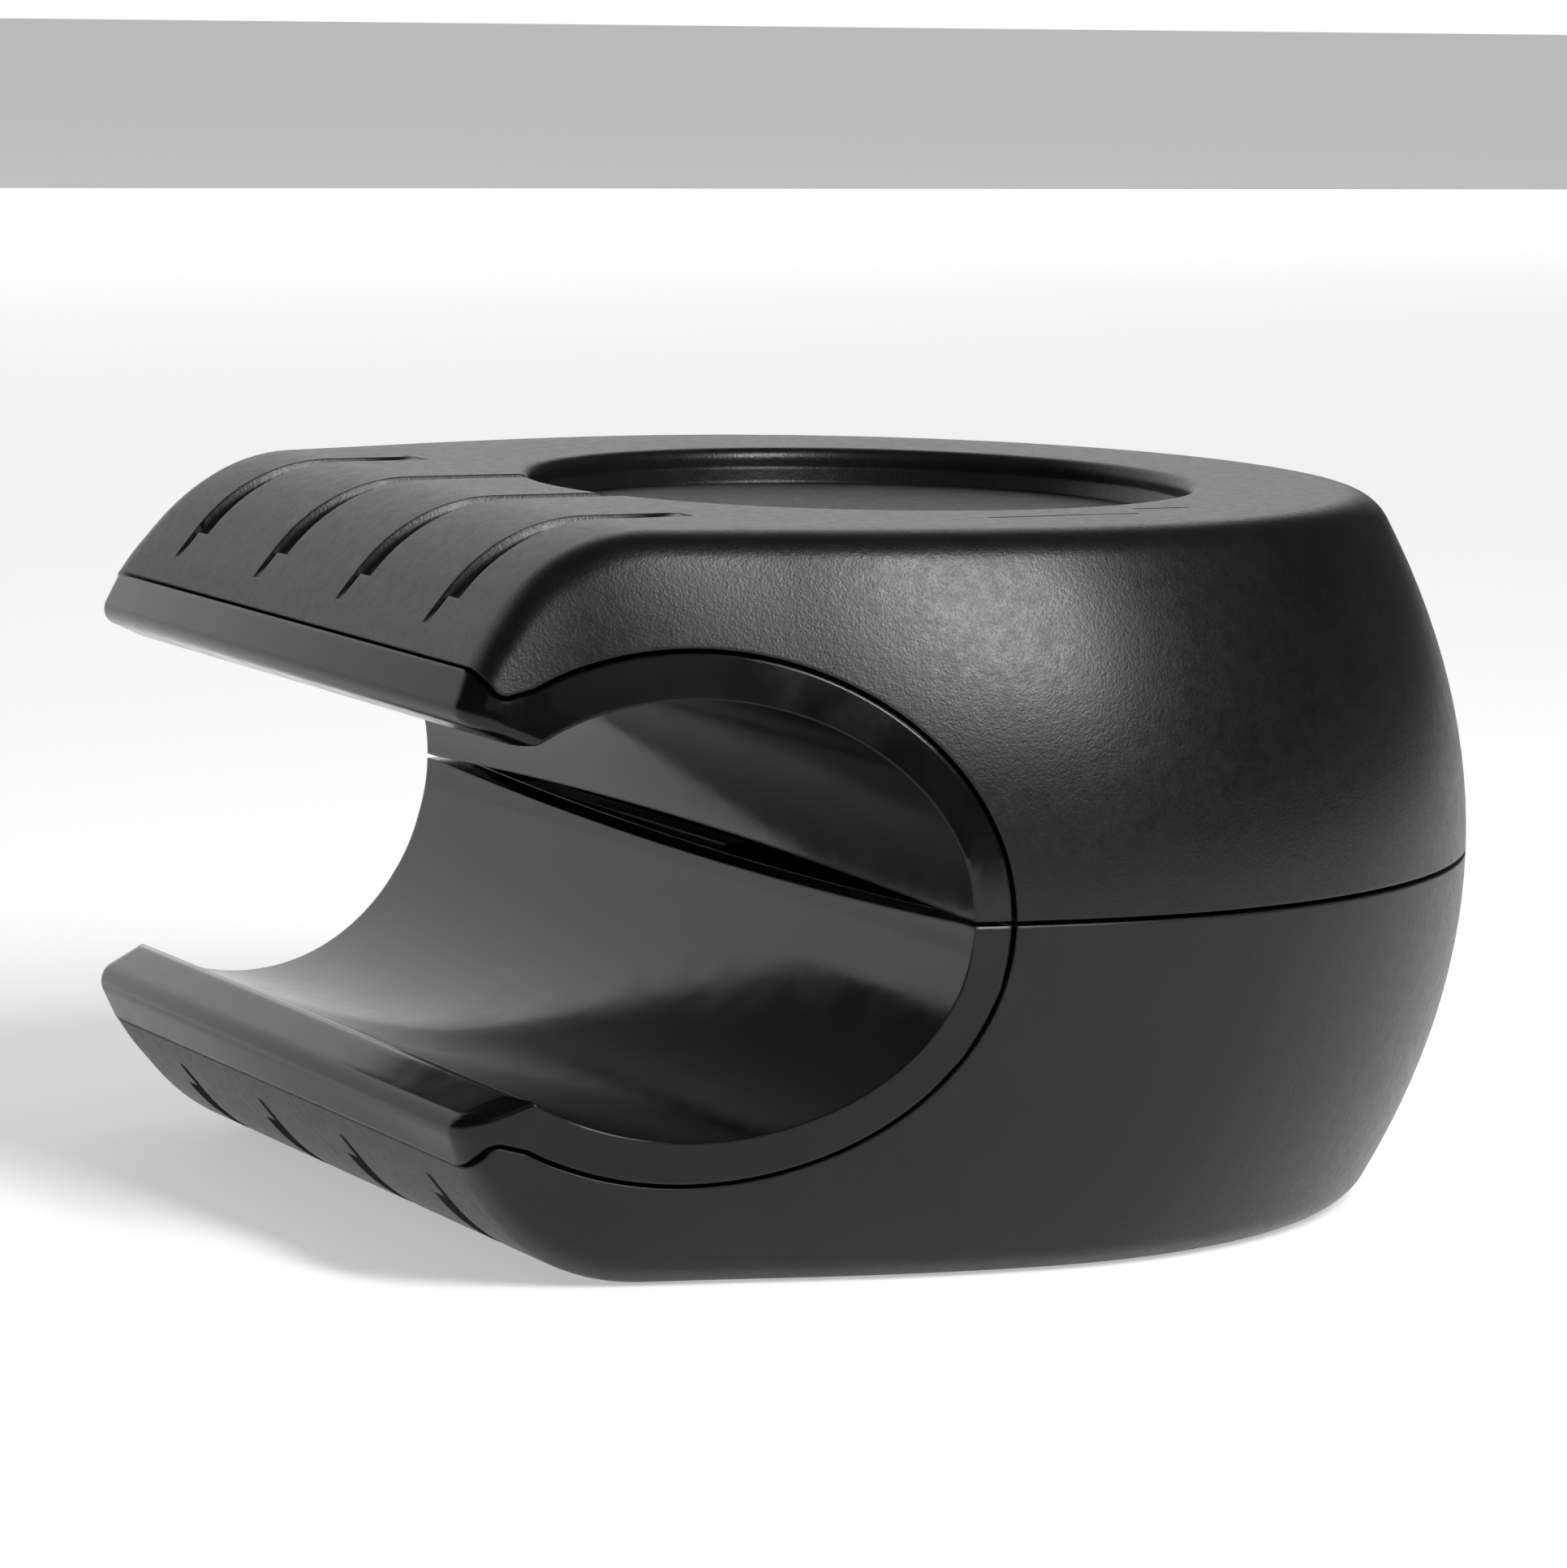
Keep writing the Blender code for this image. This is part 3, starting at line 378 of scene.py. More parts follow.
def half_width(x):
    """Half width of the plan outline: a round back, slightly bowed sides and a flare in front."""
    if x > BOW_START_X:
        return math.sqrt(BACK_RADIUS ** 2 - (x - BACK_CENTRE_X) ** 2)
    slope, steepest = math.tan(BOW_START_ANGLE), math.tan(BOW_END_ANGLE)
    run = BOW_START_X - BOW_END_X
    along = min(BOW_START_X - x, run)
    beyond = max(BOW_END_X - x, 0.0)
    return (BACK_RADIUS * math.cos(BOW_START_ANGLE) - slope * along
            - (steepest - slope) * along ** 2 / (2 * run) - steepest * beyond + FLARE * beyond ** 2)


def corner_share(x):
    share = min(max((CORNER_START_X - x) / (CORNER_START_X - CORNER_END_X), 0.0), 1.0)
    return share * share * (3 - 2 * share)


def blend(share, plain, cornered):
    return plain + (cornered - plain) * share


def side_sag(x):
    """How far the bulging side has drawn in at BARREL_HEIGHT above the parting plane."""
    return BARREL_SAG * blend(corner_share(x), 1.0, CORNER_SAG_SHARE)


def edge_section(x, bottom, top, radius):
    sag = side_sag(x)
    start = top
    for _ in range(LEAN_ROUNDS):
        lean = math.atan(2 * sag * start / BARREL_HEIGHT ** 2)
        start = top - radius * (1 - math.sin(lean))
    section = []
    for step in range(SIDE_STEPS + 1):
        z = bottom + (start - bottom) * step / SIDE_STEPS
        section.append((sag * (z / BARREL_HEIGHT) ** 2, z))
    inset = section[-1][0]
    for step in range(1, EDGE_STEPS + 1):
        angle = lean + (math.pi / 2 - lean) * step / EDGE_STEPS
        section.append((inset + radius * (math.cos(lean) - math.cos(angle)),
                        start + radius * (math.sin(angle) - math.sin(lean))))
    return section


def half_body(stations, top_at, inset, bottom, radii):
    """A half of the clip's body: sections across Y in front, and a fan of them round the back."""
    verts, faces, rows = [], [], []

    def profile(x, width):
        """(half breadth, z) from the bottom up the side and in to the middle, without it."""
        section = edge_section(x, bottom, top_at(x), blend(corner_share(x), *radii))
        points = [(width - a, z) for a, z in section]
        reach, top = points[-1]
        points += [(reach * (1 - step / ACROSS_STEPS), top) for step in range(1, ACROSS_STEPS)]
        return points

    def add(points):
        verts.extend(points)
        return list(range(len(verts) - len(points), len(verts)))

    for x in stations:
        points = profile(x, half_width(x) - inset)
        right = add([(x, y, z) for y, z in points])
        middle = add([(x, 0.0, points[-1][1])])
        left = add([(x, -y, z) for y, z in points])
        rows.append(right + middle + left[::-1])
    for row, following in zip(rows, rows[1:]):
        for i in range(len(row) - 1):
            faces.append((row[i], row[i + 1], following[i + 1], following[i]))
    faces.append(tuple(rows[0]))
    half = len(rows[0]) // 2
    hub = rows[-1][half]
    columns = [rows[-1][:half]]
    points = profile(stations[-1], BACK_RADIUS - inset)
    for step in range(1, FAN_STEPS):
        angle = math.pi / 2 - math.pi * step / FAN_STEPS
        columns.append(add([(BACK_CENTRE_X + r * math.cos(angle), r * math.sin(angle), z)
                            for r, z in points]))
    columns.append(rows[-1][:half:-1])
    for column, following in zip(columns, columns[1:]):
        for i in range(half - 1):
            faces.append((column[i], column[i + 1], following[i + 1], following[i]))
        faces.append((column[-1], hub, following[-1]))
    rim = [row[0] for row in rows] + [column[0] for column in columns[1:-1]]
    rim += [row[-1] for row in reversed(rows)]
    faces.append(tuple(rim))
    return object_from("half_body", verts, faces)


def seam_path():
    onto_ellipse = ellipse_arc(SEAM_HALF_DEPTH, SEAM_HALF_HEIGHT, SEAM_FRONT_ANGLE, 0.0)
    hook = rounded([SEAM_FRONT, SEAM_HOOK, onto_ellipse[0]], [SEAM_HOOK_RADIUS], LIP_ARC_STEP)
    return hook[:-1] + onto_ellipse


def bore_cutter():
    seam = offset_path(seam_path(), GAP / 2)
    beyond = FRONT_X - BORE_CUTTER_FRONT
    outline = [(beyond, -OVERSHOOT), (beyond, seam[0][1]), *seam, (seam[-1][0], -OVERSHOOT)]
    return extruded(outline, -BORE_CUTTER_HALF_WIDTH, BORE_CUTTER_HALF_WIDTH)


def plate_seat_z():
    return HALF_HEIGHT - DISH_DEPTH - PLATE_THICKNESS - GAP


def cavity_cutter():
    nose = nose_profile()
    front = NOSE_CORNER[0] + WALL
    stations = [front, front + WALL, front + 2 * WALL, BROW_X + BROW_RADIUS / 2,
                BACK_CENTRE_X - CAVITY_LAST_STATION, BACK_CENTRE_X]
    edge_radius = EDGE_RADIUS - WALL
    cavity = half_body(stations, lambda x: interpolate(nose, x) - WALL, WALL, -SMALL_OVERSHOOT,
                       (edge_radius, edge_radius))
    kept = [box((2 * FRONT_X, y - RIB_THICKNESS / 2, RIB_BOTTOM_Z),
                (RIB_BACK_X, y + RIB_THICKNESS / 2, HALF_HEIGHT)) for y in RIB_Y]
    kept.append(box((SPINE_X - RIB_THICKNESS / 2, SPINE_Y[0], SPINE_BOTTOM_Z),
                    (SPINE_X + RIB_THICKNESS / 2, SPINE_Y[1], HALF_HEIGHT)))
    kept += [box((KNUCKLE_WEB_X, low + KNUCKLE_STEP, -OVERSHOOT),
                 (HALF_LENGTH, high - KNUCKLE_STEP, HALF_HEIGHT)) for low, high in KNUCKLE_Y]
    boss_z = plate_seat_z() - DISH_FLOOR_THICKNESS + DISH_BOSS_LENGTH / 2
    kept.append(cylinder((DISH_X, 0.0, boss_z), DISH_RADIUS + WALL / 2, DISH_BOSS_LENGTH, "Z"))
    boolean(cavity, kept)
    return cavity


def dish_cutter():
    top = HALF_HEIGHT
    seat = plate_seat_z()
    arc = [math.pi / 2 * step / DISH_RIM_STEPS for step in range(DISH_RIM_STEPS + 1)]
    rim = [(DISH_RADIUS + DISH_RIM_ROUND * (1 - math.sin(a)),
            top - DISH_RIM_ROUND * (1 - math.cos(a))) for a in arc]
    above = top + SMALL_OVERSHOOT
    profile = [(0.0, above), (DISH_RADIUS + DISH_RIM_ROUND, above), *rim,
               (DISH_RADIUS, top - DISH_DEPTH * DISH_STEP_SHARE),
               (PLATE_RADIUS + GAP + DISH_STEP_WIDTH, top - DISH_DEPTH),
               (PLATE_RADIUS + GAP, seat), (0.0, seat)]
    return turned(profile, (DISH_X, 0.0))


def channel(near, far, x_start, x_end, steps, depth_at):
    """A cutter for a round-bottomed groove that follows the nose from one x to another."""
    nose = nose_profile()
    width = far - near
    verts, faces = [], []
    for step in range(steps + 1):
        along = step / steps
        x = x_start + (x_end - x_start) * along
        surface = interpolate(nose, x)
        depth = depth_at(along)
        verts += [(x, near + width * across, surface + depth * rise)
                  for across, rise in GROOVE_SHAPE]
    count = len(GROOVE_SHAPE)
    for step in range(steps):
        for i in range(count):
            j = (i + 1) % count
            a, b = step * count, (step + 1) * count
            faces.append((a + i, a + j, b + j, b + i))
    faces.append(tuple(range(count)))
    faces.append(tuple(range(len(verts) - 1, len(verts) - count - 1, -1)))
    return object_from("groove", verts, faces)


def groove_cutters(y_middle):
    near, far = y_middle - GROOVE_WIDTH / 2, y_middle + GROOVE_WIDTH / 2
    if abs(y_middle) > DISH_RADIUS / 2:
        run = channel(near, far, GROOVE_START_X, GROOVE_END_X, OUTER_GROOVE_STEPS,
                      lambda along: GROOVE_DEPTH * (1 - 0.95 * along ** 3))
    else:
        run = channel(near, far, GROOVE_START_X, DISH_X - DISH_RADIUS + GROOVE_DISH_OVERLAP,
                      MIDDLE_GROOVE_STEPS, lambda along: GROOVE_DEPTH * (1 - 0.3 * along))
    tail = channel(far - GROOVE_TAIL_WIDTH, far, GROOVE_TAIL_X,
                   GROOVE_START_X + GROOVE_TAIL_OVERLAP, GROOVE_TAIL_STEPS,
                   lambda along: GROOVE_DEPTH * (0.1 + 0.5 * along))
    return [run, tail]


def hinge_relief():
    lean = OPENING_ANGLE / 2 + RELIEF_SPARE_ANGLE
    back = HALF_LENGTH + OVERSHOOT
    low = PARTING_GAP / 2
    outline = [(HINGE_X, -SMALL_OVERSHOOT), (HINGE_X, low),
               (back, low + (back - HINGE_X) * math.tan(lean)), (back, -SMALL_OVERSHOOT)]
    return extruded(outline, -CUTTER_HALF_WIDTH, CUTTER_HALF_WIDTH)


def peg_places():
    return [(DISH_X + PLATE_PEG_CIRCLE * math.cos(a), PLATE_PEG_CIRCLE * math.sin(a))
            for a in PLATE_PEG_ANGLES]


def screw_places():
    """Along the front of the dish, over the back of the liner."""
    return [(DISH_X - math.sqrt(SCREW_CIRCLE_RADIUS ** 2 - y ** 2), y) for y in SCREW_Y]


def screw_seat_z():
    return plate_seat_z() - SCREW_HEAD_HEIGHT - GAP


def make_half_shell():
    nose = nose_profile()
    dense = resampled(nose, STATION_STEP)
    shell = half_body([x for x, z in dense], lambda x: interpolate(nose, x), 0.0,
                      PARTING_GAP / 2, (EDGE_RADIUS, CORNER_EDGE_RADIUS))
    boolean(shell, [cavity_cutter()])
    boolean(shell, [bore_cutter()])
    boolean(shell, [dish_cutter()])
    boolean(shell, [cutter for y in GROOVE_Y for cutter in groove_cutters(y)])
    seat = screw_seat_z()
    boolean(shell, [cylinder((x, y, seat), PLATE_PEG_RADIUS + GAP, HOLE_LENGTH, "Z")
                    for x, y in peg_places()])
    boolean(shell, [cylinder((x, y, seat), SCREW_RADIUS + GAP, HOLE_LENGTH, "Z")
                    for x, y in screw_places()])
    for x, y in screw_places():
        boolean(shell, [cylinder((x, y, seat + HOLE_LENGTH / 4), SCREW_HEAD_RADIUS + GAP,
                                 HOLE_LENGTH / 2, "Z")])
    for (x_low, y_low), (x_high, y_high) in TOP_MARKS:
        boolean(shell, [box((x_low, y_low, HALF_HEIGHT - MARK_DEPTH),
                            (x_high, y_high, HALF_HEIGHT + SMALL_OVERSHOOT))])
    boolean(shell, [hinge_relief()])
    for low, high in KNUCKLE_Y:
        middle, width = (low + high) / 2, high - low
        boolean(shell, [cylinder((HINGE_X, middle, 0.0), KNUCKLE_RADIUS, width)], "UNION")
        boolean(shell, [cylinder((HINGE_X, -middle, 0.0), KNUCKLE_RADIUS + KNUCKLE_CLEARANCE,
                                 width + 2 * KNUCKLE_SIDE_GAP)])
        boolean(shell, [cylinder((SPRING_HOOK_X, middle, SPRING_HOOK_Z),
                                 SPRING_WIRE_RADIUS + GAP, 2 * width)])
    boolean(shell, [cylinder((HINGE_X, 0.0, 0.0), PIN_RADIUS, 2 * PIN_HALF_LENGTH)])
    return shell


# ---------------------------------------------------------------- the half liner and the plate

def slot_cutter():
    """Takes the liner's back edge down to the parting gap, and hollows its middle into a lens."""
    gap = PARTING_GAP / 2
    reach, bottom = SLOT_CUTTER_HALF_LENGTH, -SLOT_CUTTER_BOTTOM
    outline = [(-reach, bottom), (-reach, gap)]
    for step in range(SLOT_STEPS + 1):
        y = SLOT_HALF_LENGTH * (2 * step / SLOT_STEPS - 1)
        outline.append((y, gap + (SLOT_HALF_HEIGHT - gap) * (1 - (y / SLOT_HALF_LENGTH) ** 2)))
    outline += [(reach, gap), (reach, bottom)]
    cutter = extruded(outline, -SLOT_CUTTER_HALF_DEPTH, SLOT_CUTTER_HALF_DEPTH)
    cutter.data.transform(Matrix.Translation((BORE_X + BORE_HALF_DEPTH, 0.0, 0.0))
                          @ Matrix.Rotation(math.pi / 2, 4, "Z"))
    return cutter


def lip_path():
    """The liner's front in side view, from the bore's front edge round the lip to the seam."""
    inner_end = ellipse_arc(BORE_HALF_DEPTH, BORE_HALF_HEIGHT, 0.0, BORE_FRONT_ANGLE)[-1]
    outer_start = offset_path(seam_path(), -GAP / 2)[0]
    return rounded([inner_end, LIP_TIP, LIP_FRONT, outer_start], LIP_RADII, LIP_ARC_STEP)


def plan_outline(front, z):
    """Half of a plan outline at a height, from its rounded front corner back to the middle."""
    points = []
    for step in range(CORNER_STEPS + 1):
        angle = math.pi / 2 * step / CORNER_STEPS
        points.append((front + CORNER_RADIUS * (1 - math.cos(angle)),
                       CORNER_RADIUS * (math.sin(angle) - 1)))
    corner_end = points[-1][0]
    points += [(corner_end + (BOW_START_X - corner_end) * step / SIDE_STATIONS, 0.0)
               for step in range(1, SIDE_STATIONS + 1)]
    points += [(BOW_START_X + (BACK_CENTRE_X - BOW_START_X) * step / BOW_STATIONS, 0.0)
               for step in range(1, BOW_STATIONS + 1)]
    rise = (z / BARREL_HEIGHT) ** 2
    return [(x, half_width(x) - side_sag(x) * rise + inward) for x, inward in points]


def liner_bounds():
    """Space between the clip's sides, with front corners that follow the liner's lip."""
    lip = lip_path()
    tip = min(range(len(lip)), key=lambda index: lip[index][1])
    face = resampled(lip[tip:], LIP_STEP)
    path = [*((face[0][0], z) for z in LINER_LOW_HEIGHTS), *face,
            (face[-1][0], face[-1][1] + LINER_TOP_SPARE), (face[-1][0], HALF_HEIGHT)]
    verts, faces = [], []
    for x, z in path:
        half = plan_outline(x - BOUNDS_MARGIN, z)
        verts += [(px, py, z) for px, py in half] + [(px, -py, z) for px, py in reversed(half)]
    count = len(verts) // len(path)
    for low in range(0, len(verts) - count, count):
        for index in range(count):
            other = (index + 1) % count
            faces.append((low + index, low + other, low + count + other, low + count + index))
    faces.append(tuple(range(count)))
    faces.append(tuple(range(len(verts) - count, len(verts))))
    return object_from("liner_bounds", verts, faces)


def make_half_liner():
    outer = offset_path(seam_path(), -GAP / 2)
    inner = ellipse_arc(BORE_HALF_DEPTH, BORE_HALF_HEIGHT, 0.0, BORE_FRONT_ANGLE)
    outline = [(inner[0][0], -OVERSHOOT), *inner, *lip_path()[1:-1], *outer,
               (outer[-1][0], -OVERSHOOT)]
    liner = extruded(outline, -CUTTER_HALF_WIDTH, CUTTER_HALF_WIDTH)
    boolean(liner, [liner_bounds()], "INTERSECT")
    boolean(liner, [slot_cutter()])
    return liner


def make_dish_plate():
    top = HALF_HEIGHT - DISH_DEPTH
    bevel, rings = PLATE_BEVEL, PLATE_HOLLOW_RINGS
    hollow = [(PLATE_RADIUS * PLATE_HOLLOW_SHARE * step / rings,
               top - PLATE_HOLLOW * (1 - (step / rings) ** 2)) for step in range(rings + 1)]
    arc = [math.pi / 2 * step / PLATE_BEVEL_STEPS for step in range(PLATE_BEVEL_STEPS + 1)]
    rim = [(PLATE_RADIUS - bevel * (1 - math.sin(a)), top - bevel * (1 - math.cos(a)))
           for a in arc]
    bottom = top - PLATE_THICKNESS
    plate = turned([*hollow, *rim, (PLATE_RADIUS, bottom), (0.0, bottom)], (DISH_X, 0.0))
    length = DISH_FLOOR_THICKNESS + GAP
    boolean(plate, [cylinder((x, y, bottom - length / 2 + GAP), PLATE_PEG_RADIUS,
                             length + 2 * GAP, "Z") for x, y in peg_places()], "UNION")
    return plate


# ---------------------------------------------------------------- materials

class Graph:
    """A small helper for node materials."""

    def __init__(self, name):
        self.material = bpy.data.materials.new(name)
        self.material.use_nodes = True
        self.tree = self.material.node_tree
        self.shader = self.tree.nodes["Principled BSDF"]
        self.place = self.node("ShaderNodeTexCoord").outputs["Object"]

    def node(self, kind, settings=None, **inputs):
        made = self.tree.nodes.new(kind)
        for key, value in (settings or {}).items():
            setattr(made, key, value)
        for key, value in inputs.items():
            self.feed(made.inputs[key.replace("_", " ")], value)
        return made

    def feed(self, socket, value):
        if isinstance(value, bpy.types.NodeSocket):
            self.tree.links.new(value, socket)
        else:
            socket.default_value = value

    def noise(self, scale, detail=3.0, roughness=0.5, vector=None):
        return self.node("ShaderNodeTexNoise", Vector=vector or self.place, Scale=scale,
                         Detail=detail, Roughness=roughness).outputs["Fac"]

    def remap(self, value, low, high, to_low, to_high):
        made = self.node("ShaderNodeMapRange", Value=value)
        for index, number in enumerate((low, high, to_low, to_high), 1):
            made.inputs[index].default_value = number
        return made.outputs["Result"]

    def math(self, operation, a, b):
        made = self.node("ShaderNodeMath", {"operation": operation})
        self.feed(made.inputs[0], a)
        self.feed(made.inputs[1], b)
        return made.outputs[0]

    def mix(self, share, a, b):
        made = self.node("ShaderNodeMix", {"data_type": "RGBA"})
        self.feed(made.inputs["Factor"], share)
        self.feed(made.inputs[6], a)
        self.feed(made.inputs[7], b)
        return made.outputs[2]

    def bump(self, height, distance, strength=1.0, normal=None):
        made = self.node("ShaderNodeBump", Height=height, Distance=distance, Strength=strength)
        if normal is not None:
            self.feed(made.inputs["Normal"], normal)
        return made.outputs["Normal"]

    def set(self, **values):
        for key, value in values.items():
            self.feed(self.shader.inputs[key.replace("_", " ")], value)


BEVEL_SAMPLES = 6
SHELL_BEVEL = 0.25 * MM
LINER_BEVEL = 0.3 * MM
EDGE_SHARP_ANGLE = 32.0


def grey(level):
    return (level, level, level * 1.01, 1.0)


def textured_plastic(name, base, roughness, grain, depth, specular):
    """Black nylon with the fine texture of a spark-eroded mould."""
    g = Graph(name)
    fine = g.noise(6500.0, 1.0, 0.5)
    middle = g.noise(2900.0, 2.0, 0.6)
    mottle = g.noise(1100.0, 3.0, 0.6)
    blotch = g.noise(220.0, 4.0, 0.6)
    height = g.math("ADD", g.math("MULTIPLY", fine, grain), g.math("MULTIPLY", middle, 1 - grain))
    rounded_edge = g.node("ShaderNodeBevel", {"samples": BEVEL_SAMPLES},
                          Radius=SHELL_BEVEL).outputs["Normal"]
    g.set(Base_Color=g.mix(g.remap(blotch, 0.35, 0.65, 0.0, 1.0), grey(base * 0.8),
                           grey(base * 1.25)),
          Roughness=g.remap(g.math("ADD", g.math("MULTIPLY", mottle, 0.55),
                                   g.math("MULTIPLY", fine, 0.45)),
                            0.38, 0.62, roughness - 0.04, roughness + 0.04),
          Normal=g.bump(height, depth, 1.0, rounded_edge), Specular_IOR_Level=specular)
    return g.material


def smooth_plastic(name, base, roughness, specular):
    """Black acetal, moulded smooth, with faint flow waves and rubbed scratches."""
    g = Graph(name)
    wave = g.noise(90.0, 2.0, 0.4)
    stretched = g.node("ShaderNodeMapping", Vector=g.place)
    stretched.inputs["Scale"].default_value = (1.0, 0.06, 1.0)
    scratch = g.noise(5200.0, 2.0, 0.7, stretched.outputs["Vector"])
    rub = g.noise(260.0, 3.0, 0.6)
    where = g.remap(rub, 0.48, 0.66, 0.0, 1.0)
    height = g.math("ADD", g.math("MULTIPLY", wave, 0.8),
                    g.math("MULTIPLY", g.math("MULTIPLY", scratch, where), 0.08))
    rounded_edge = g.node("ShaderNodeBevel", {"samples": BEVEL_SAMPLES},
                          Radius=LINER_BEVEL).outputs["Normal"]
    g.set(Base_Color=g.mix(where, grey(base), grey(base * 1.5)),
          Roughness=g.remap(rub, 0.35, 0.7, roughness - 0.03, roughness + 0.05),
          Normal=g.bump(height, 0.03 * MM, 0.6, rounded_edge), Specular_IOR_Level=specular)
    return g.material


def steel(name, base, roughness, stretch):
    """Plain steel with drawing or turning marks along one axis."""
    g = Graph(name)
    stretched = g.node("ShaderNodeMapping", Vector=g.place)
    stretched.inputs["Scale"].default_value = stretch
    marks = g.noise(6000.0, 3.0, 0.6, stretched.outputs["Vector"])
    tarnish = g.noise(900.0, 3.0, 0.6)
    g.set(Base_Color=g.mix(g.remap(tarnish, 0.4, 0.7, 0.0, 1.0), grey(base), grey(base * 0.7)),
          Roughness=g.remap(tarnish, 0.3, 0.7, roughness - 0.06, roughness + 0.1),
          Normal=g.bump(marks, 0.02 * MM, 0.5))
    g.shader.inputs["Metallic"].default_value = 1.0
    return g.material


shell_plastic = textured_plastic("clip_textured_nylon", 0.005, 0.35, 0.5, 0.022 * MM, 0.36)
liner_plastic = smooth_plastic("clip_smooth_acetal", 0.0025, 0.15, 0.34)
plate_plastic = textured_plastic("clip_plate_nylon", 0.004, 0.45, 0.7, 0.05 * MM, 0.4)
screw_steel = steel("clip_screw_steel", 0.55, 0.35, (1.0, 1.0, 0.1))
pin_steel = steel("clip_pin_steel", 0.62, 0.25, (1.0, 0.1, 1.0))
spring_steel = steel("clip_spring_steel", 0.45, 0.3, (1.0, 0.3, 1.0))


# ---------------------------------------------------------------- placing the pieces

UPRIGHT = Matrix.Translation((0.0, 0.0, HALF_HEIGHT))
PLACES = {"upper": UPRIGHT, "lower": UPRIGHT @ Matrix.Rotation(math.pi, 4, "X")}


def finish_pattern(item, material):
    mesh = item.data
    mesh.materials.clear()
    mesh.materials.append(material)
    mesh.shade_smooth()
    mesh.set_sharp_from_angle(angle=math.radians(EDGE_SHARP_ANGLE))
    bpy.data.objects.remove(item, do_unlink=True)
    return mesh


# Known fault: the booleans leave a few polygons in the shell that Mesh.validate() drops. The renders
# are whole, but an export that validates loses faces of both shells, most of the lower one's.
def place_halves(kind, mesh):
    for half, matrix in PLACES.items():
        copy = mesh.copy()
        copy.transform(matrix)
        piece = bpy.data.objects.new(f"{half}_{kind}_moulding", copy)
        bpy.context.scene.collection.objects.link(piece)
        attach(piece, f"{half}_jaw")
        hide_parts(f"{half}_{kind}")


place_halves("shell", finish_pattern(make_half_shell(), shell_plastic))
place_halves("liner", finish_pattern(make_half_liner(), liner_plastic))
place_halves("dish_plate", finish_pattern(make_dish_plate(), plate_plastic))
bpy.data.collections.remove(work_collection)

# A torsion spring winds up about its own axis.
for side in ("left", "right"):
    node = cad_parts[f"jaw_spring_{side}"]
    spring = bpy.data.objects.new(f"jaw_spring_{side}_wire", node.data.copy())
    spring.data.materials.clear()
    spring.data.materials.append(spring_steel)
    bpy.context.scene.collection.objects.link(spring)
    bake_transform(spring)
    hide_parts(f"jaw_spring_{side}")

CAD_MATERIALS = (("screw", screw_steel), ("pin", pin_steel), ("clip", pin_steel))
for name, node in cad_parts.items():
    for word, material in CAD_MATERIALS:
        if word in name:
            node.data.materials.clear()
            node.data.materials.append(material)

# ---------------------------------------------------------------- floor, light and camera

scene = bpy.context.scene
scene.view_settings.view_transform = "Standard"


def stage_mesh(name, verts, faces):
    mesh = bpy.data.meshes.new(name)
    mesh.from_pydata(verts, [], faces)
    item = bpy.data.objects.new(name, mesh)
    scene.collection.objects.link(item)
    return item


def joined(tree, operation, a, b):
    """A Math node; a and b are sockets or numbers."""
    node = tree.nodes.new("ShaderNodeMath")
    node.operation = operation
    for socket, value in zip(node.inputs, (a, b)):
        if isinstance(value, bpy.types.NodeSocket):
            tree.links.new(value, socket)
        else:
            socket.default_value = value
    return node.outputs[0]


def seen_ray(tree, mirrored=1.0):
    """1 for camera rays, and mirrored (a number or socket) for glossy and transmission rays."""
    path = tree.nodes.new("ShaderNodeLightPath")
    through = joined(tree, "MAXIMUM", path.outputs["Is Glossy Ray"],
                     path.outputs["Is Transmission Ray"])
    return joined(tree, "MAXIMUM", path.outputs["Is Camera Ray"],
                  joined(tree, "MULTIPLY", through, mirrored))


FLOOR_HALF = 3.0
FLOOR_WHITE = (0.8, 0.8, 0.8, 1.0)
FLOOR_GLOW = 0.45
floor = stage_mesh("floor", [(-FLOOR_HALF, -FLOOR_HALF, 0.0), (FLOOR_HALF, -FLOOR_HALF, 0.0),
                             (FLOOR_HALF, FLOOR_HALF, 0.0), (-FLOOR_HALF, FLOOR_HALF, 0.0)],
                   [(0, 1, 2, 3)])
paint = bpy.data.materials.new("floor_white")
paint.use_nodes = True
tree = paint.node_tree
tree.nodes.clear()
out = tree.nodes.new("ShaderNodeOutputMaterial")
plain = tree.nodes.new("ShaderNodeBsdfDiffuse")
plain.inputs["Color"].default_value = FLOOR_WHITE
seen = tree.nodes.new("ShaderNodeBsdfDiffuse")
seen.inputs["Color"].default_value = FLOOR_WHITE
glow = tree.nodes.new("ShaderNodeEmission")
glow.inputs["Strength"].default_value = FLOOR_GLOW
both = tree.nodes.new("ShaderNodeAddShader")
tree.links.new(seen.outputs[0], both.inputs[0])
tree.links.new(glow.outputs[0], both.inputs[1])
choose = tree.nodes.new("ShaderNodeMixShader")
tree.links.new(seen_ray(tree), choose.inputs[0])
tree.links.new(plain.outputs[0], choose.inputs[1])
tree.links.new(both.outputs[0], choose.inputs[2])
tree.links.new(choose.outputs[0], out.inputs["Surface"])
floor.data.materials.append(paint)

# The backdrop is a band of white behind the clip. Its reflections end where the band does.
BACKDROP_AZIMUTH = -6.0
BACKDROP_HALF_ANGLE = (44.0, 24.0)
BACKDROP_ELEVATION = 18.0
BACKDROP_HALF_FADE = 6.0
WHITE = (1.0, 1.0, 1.0, 1.0)
ROOM_STRENGTH = 0.05

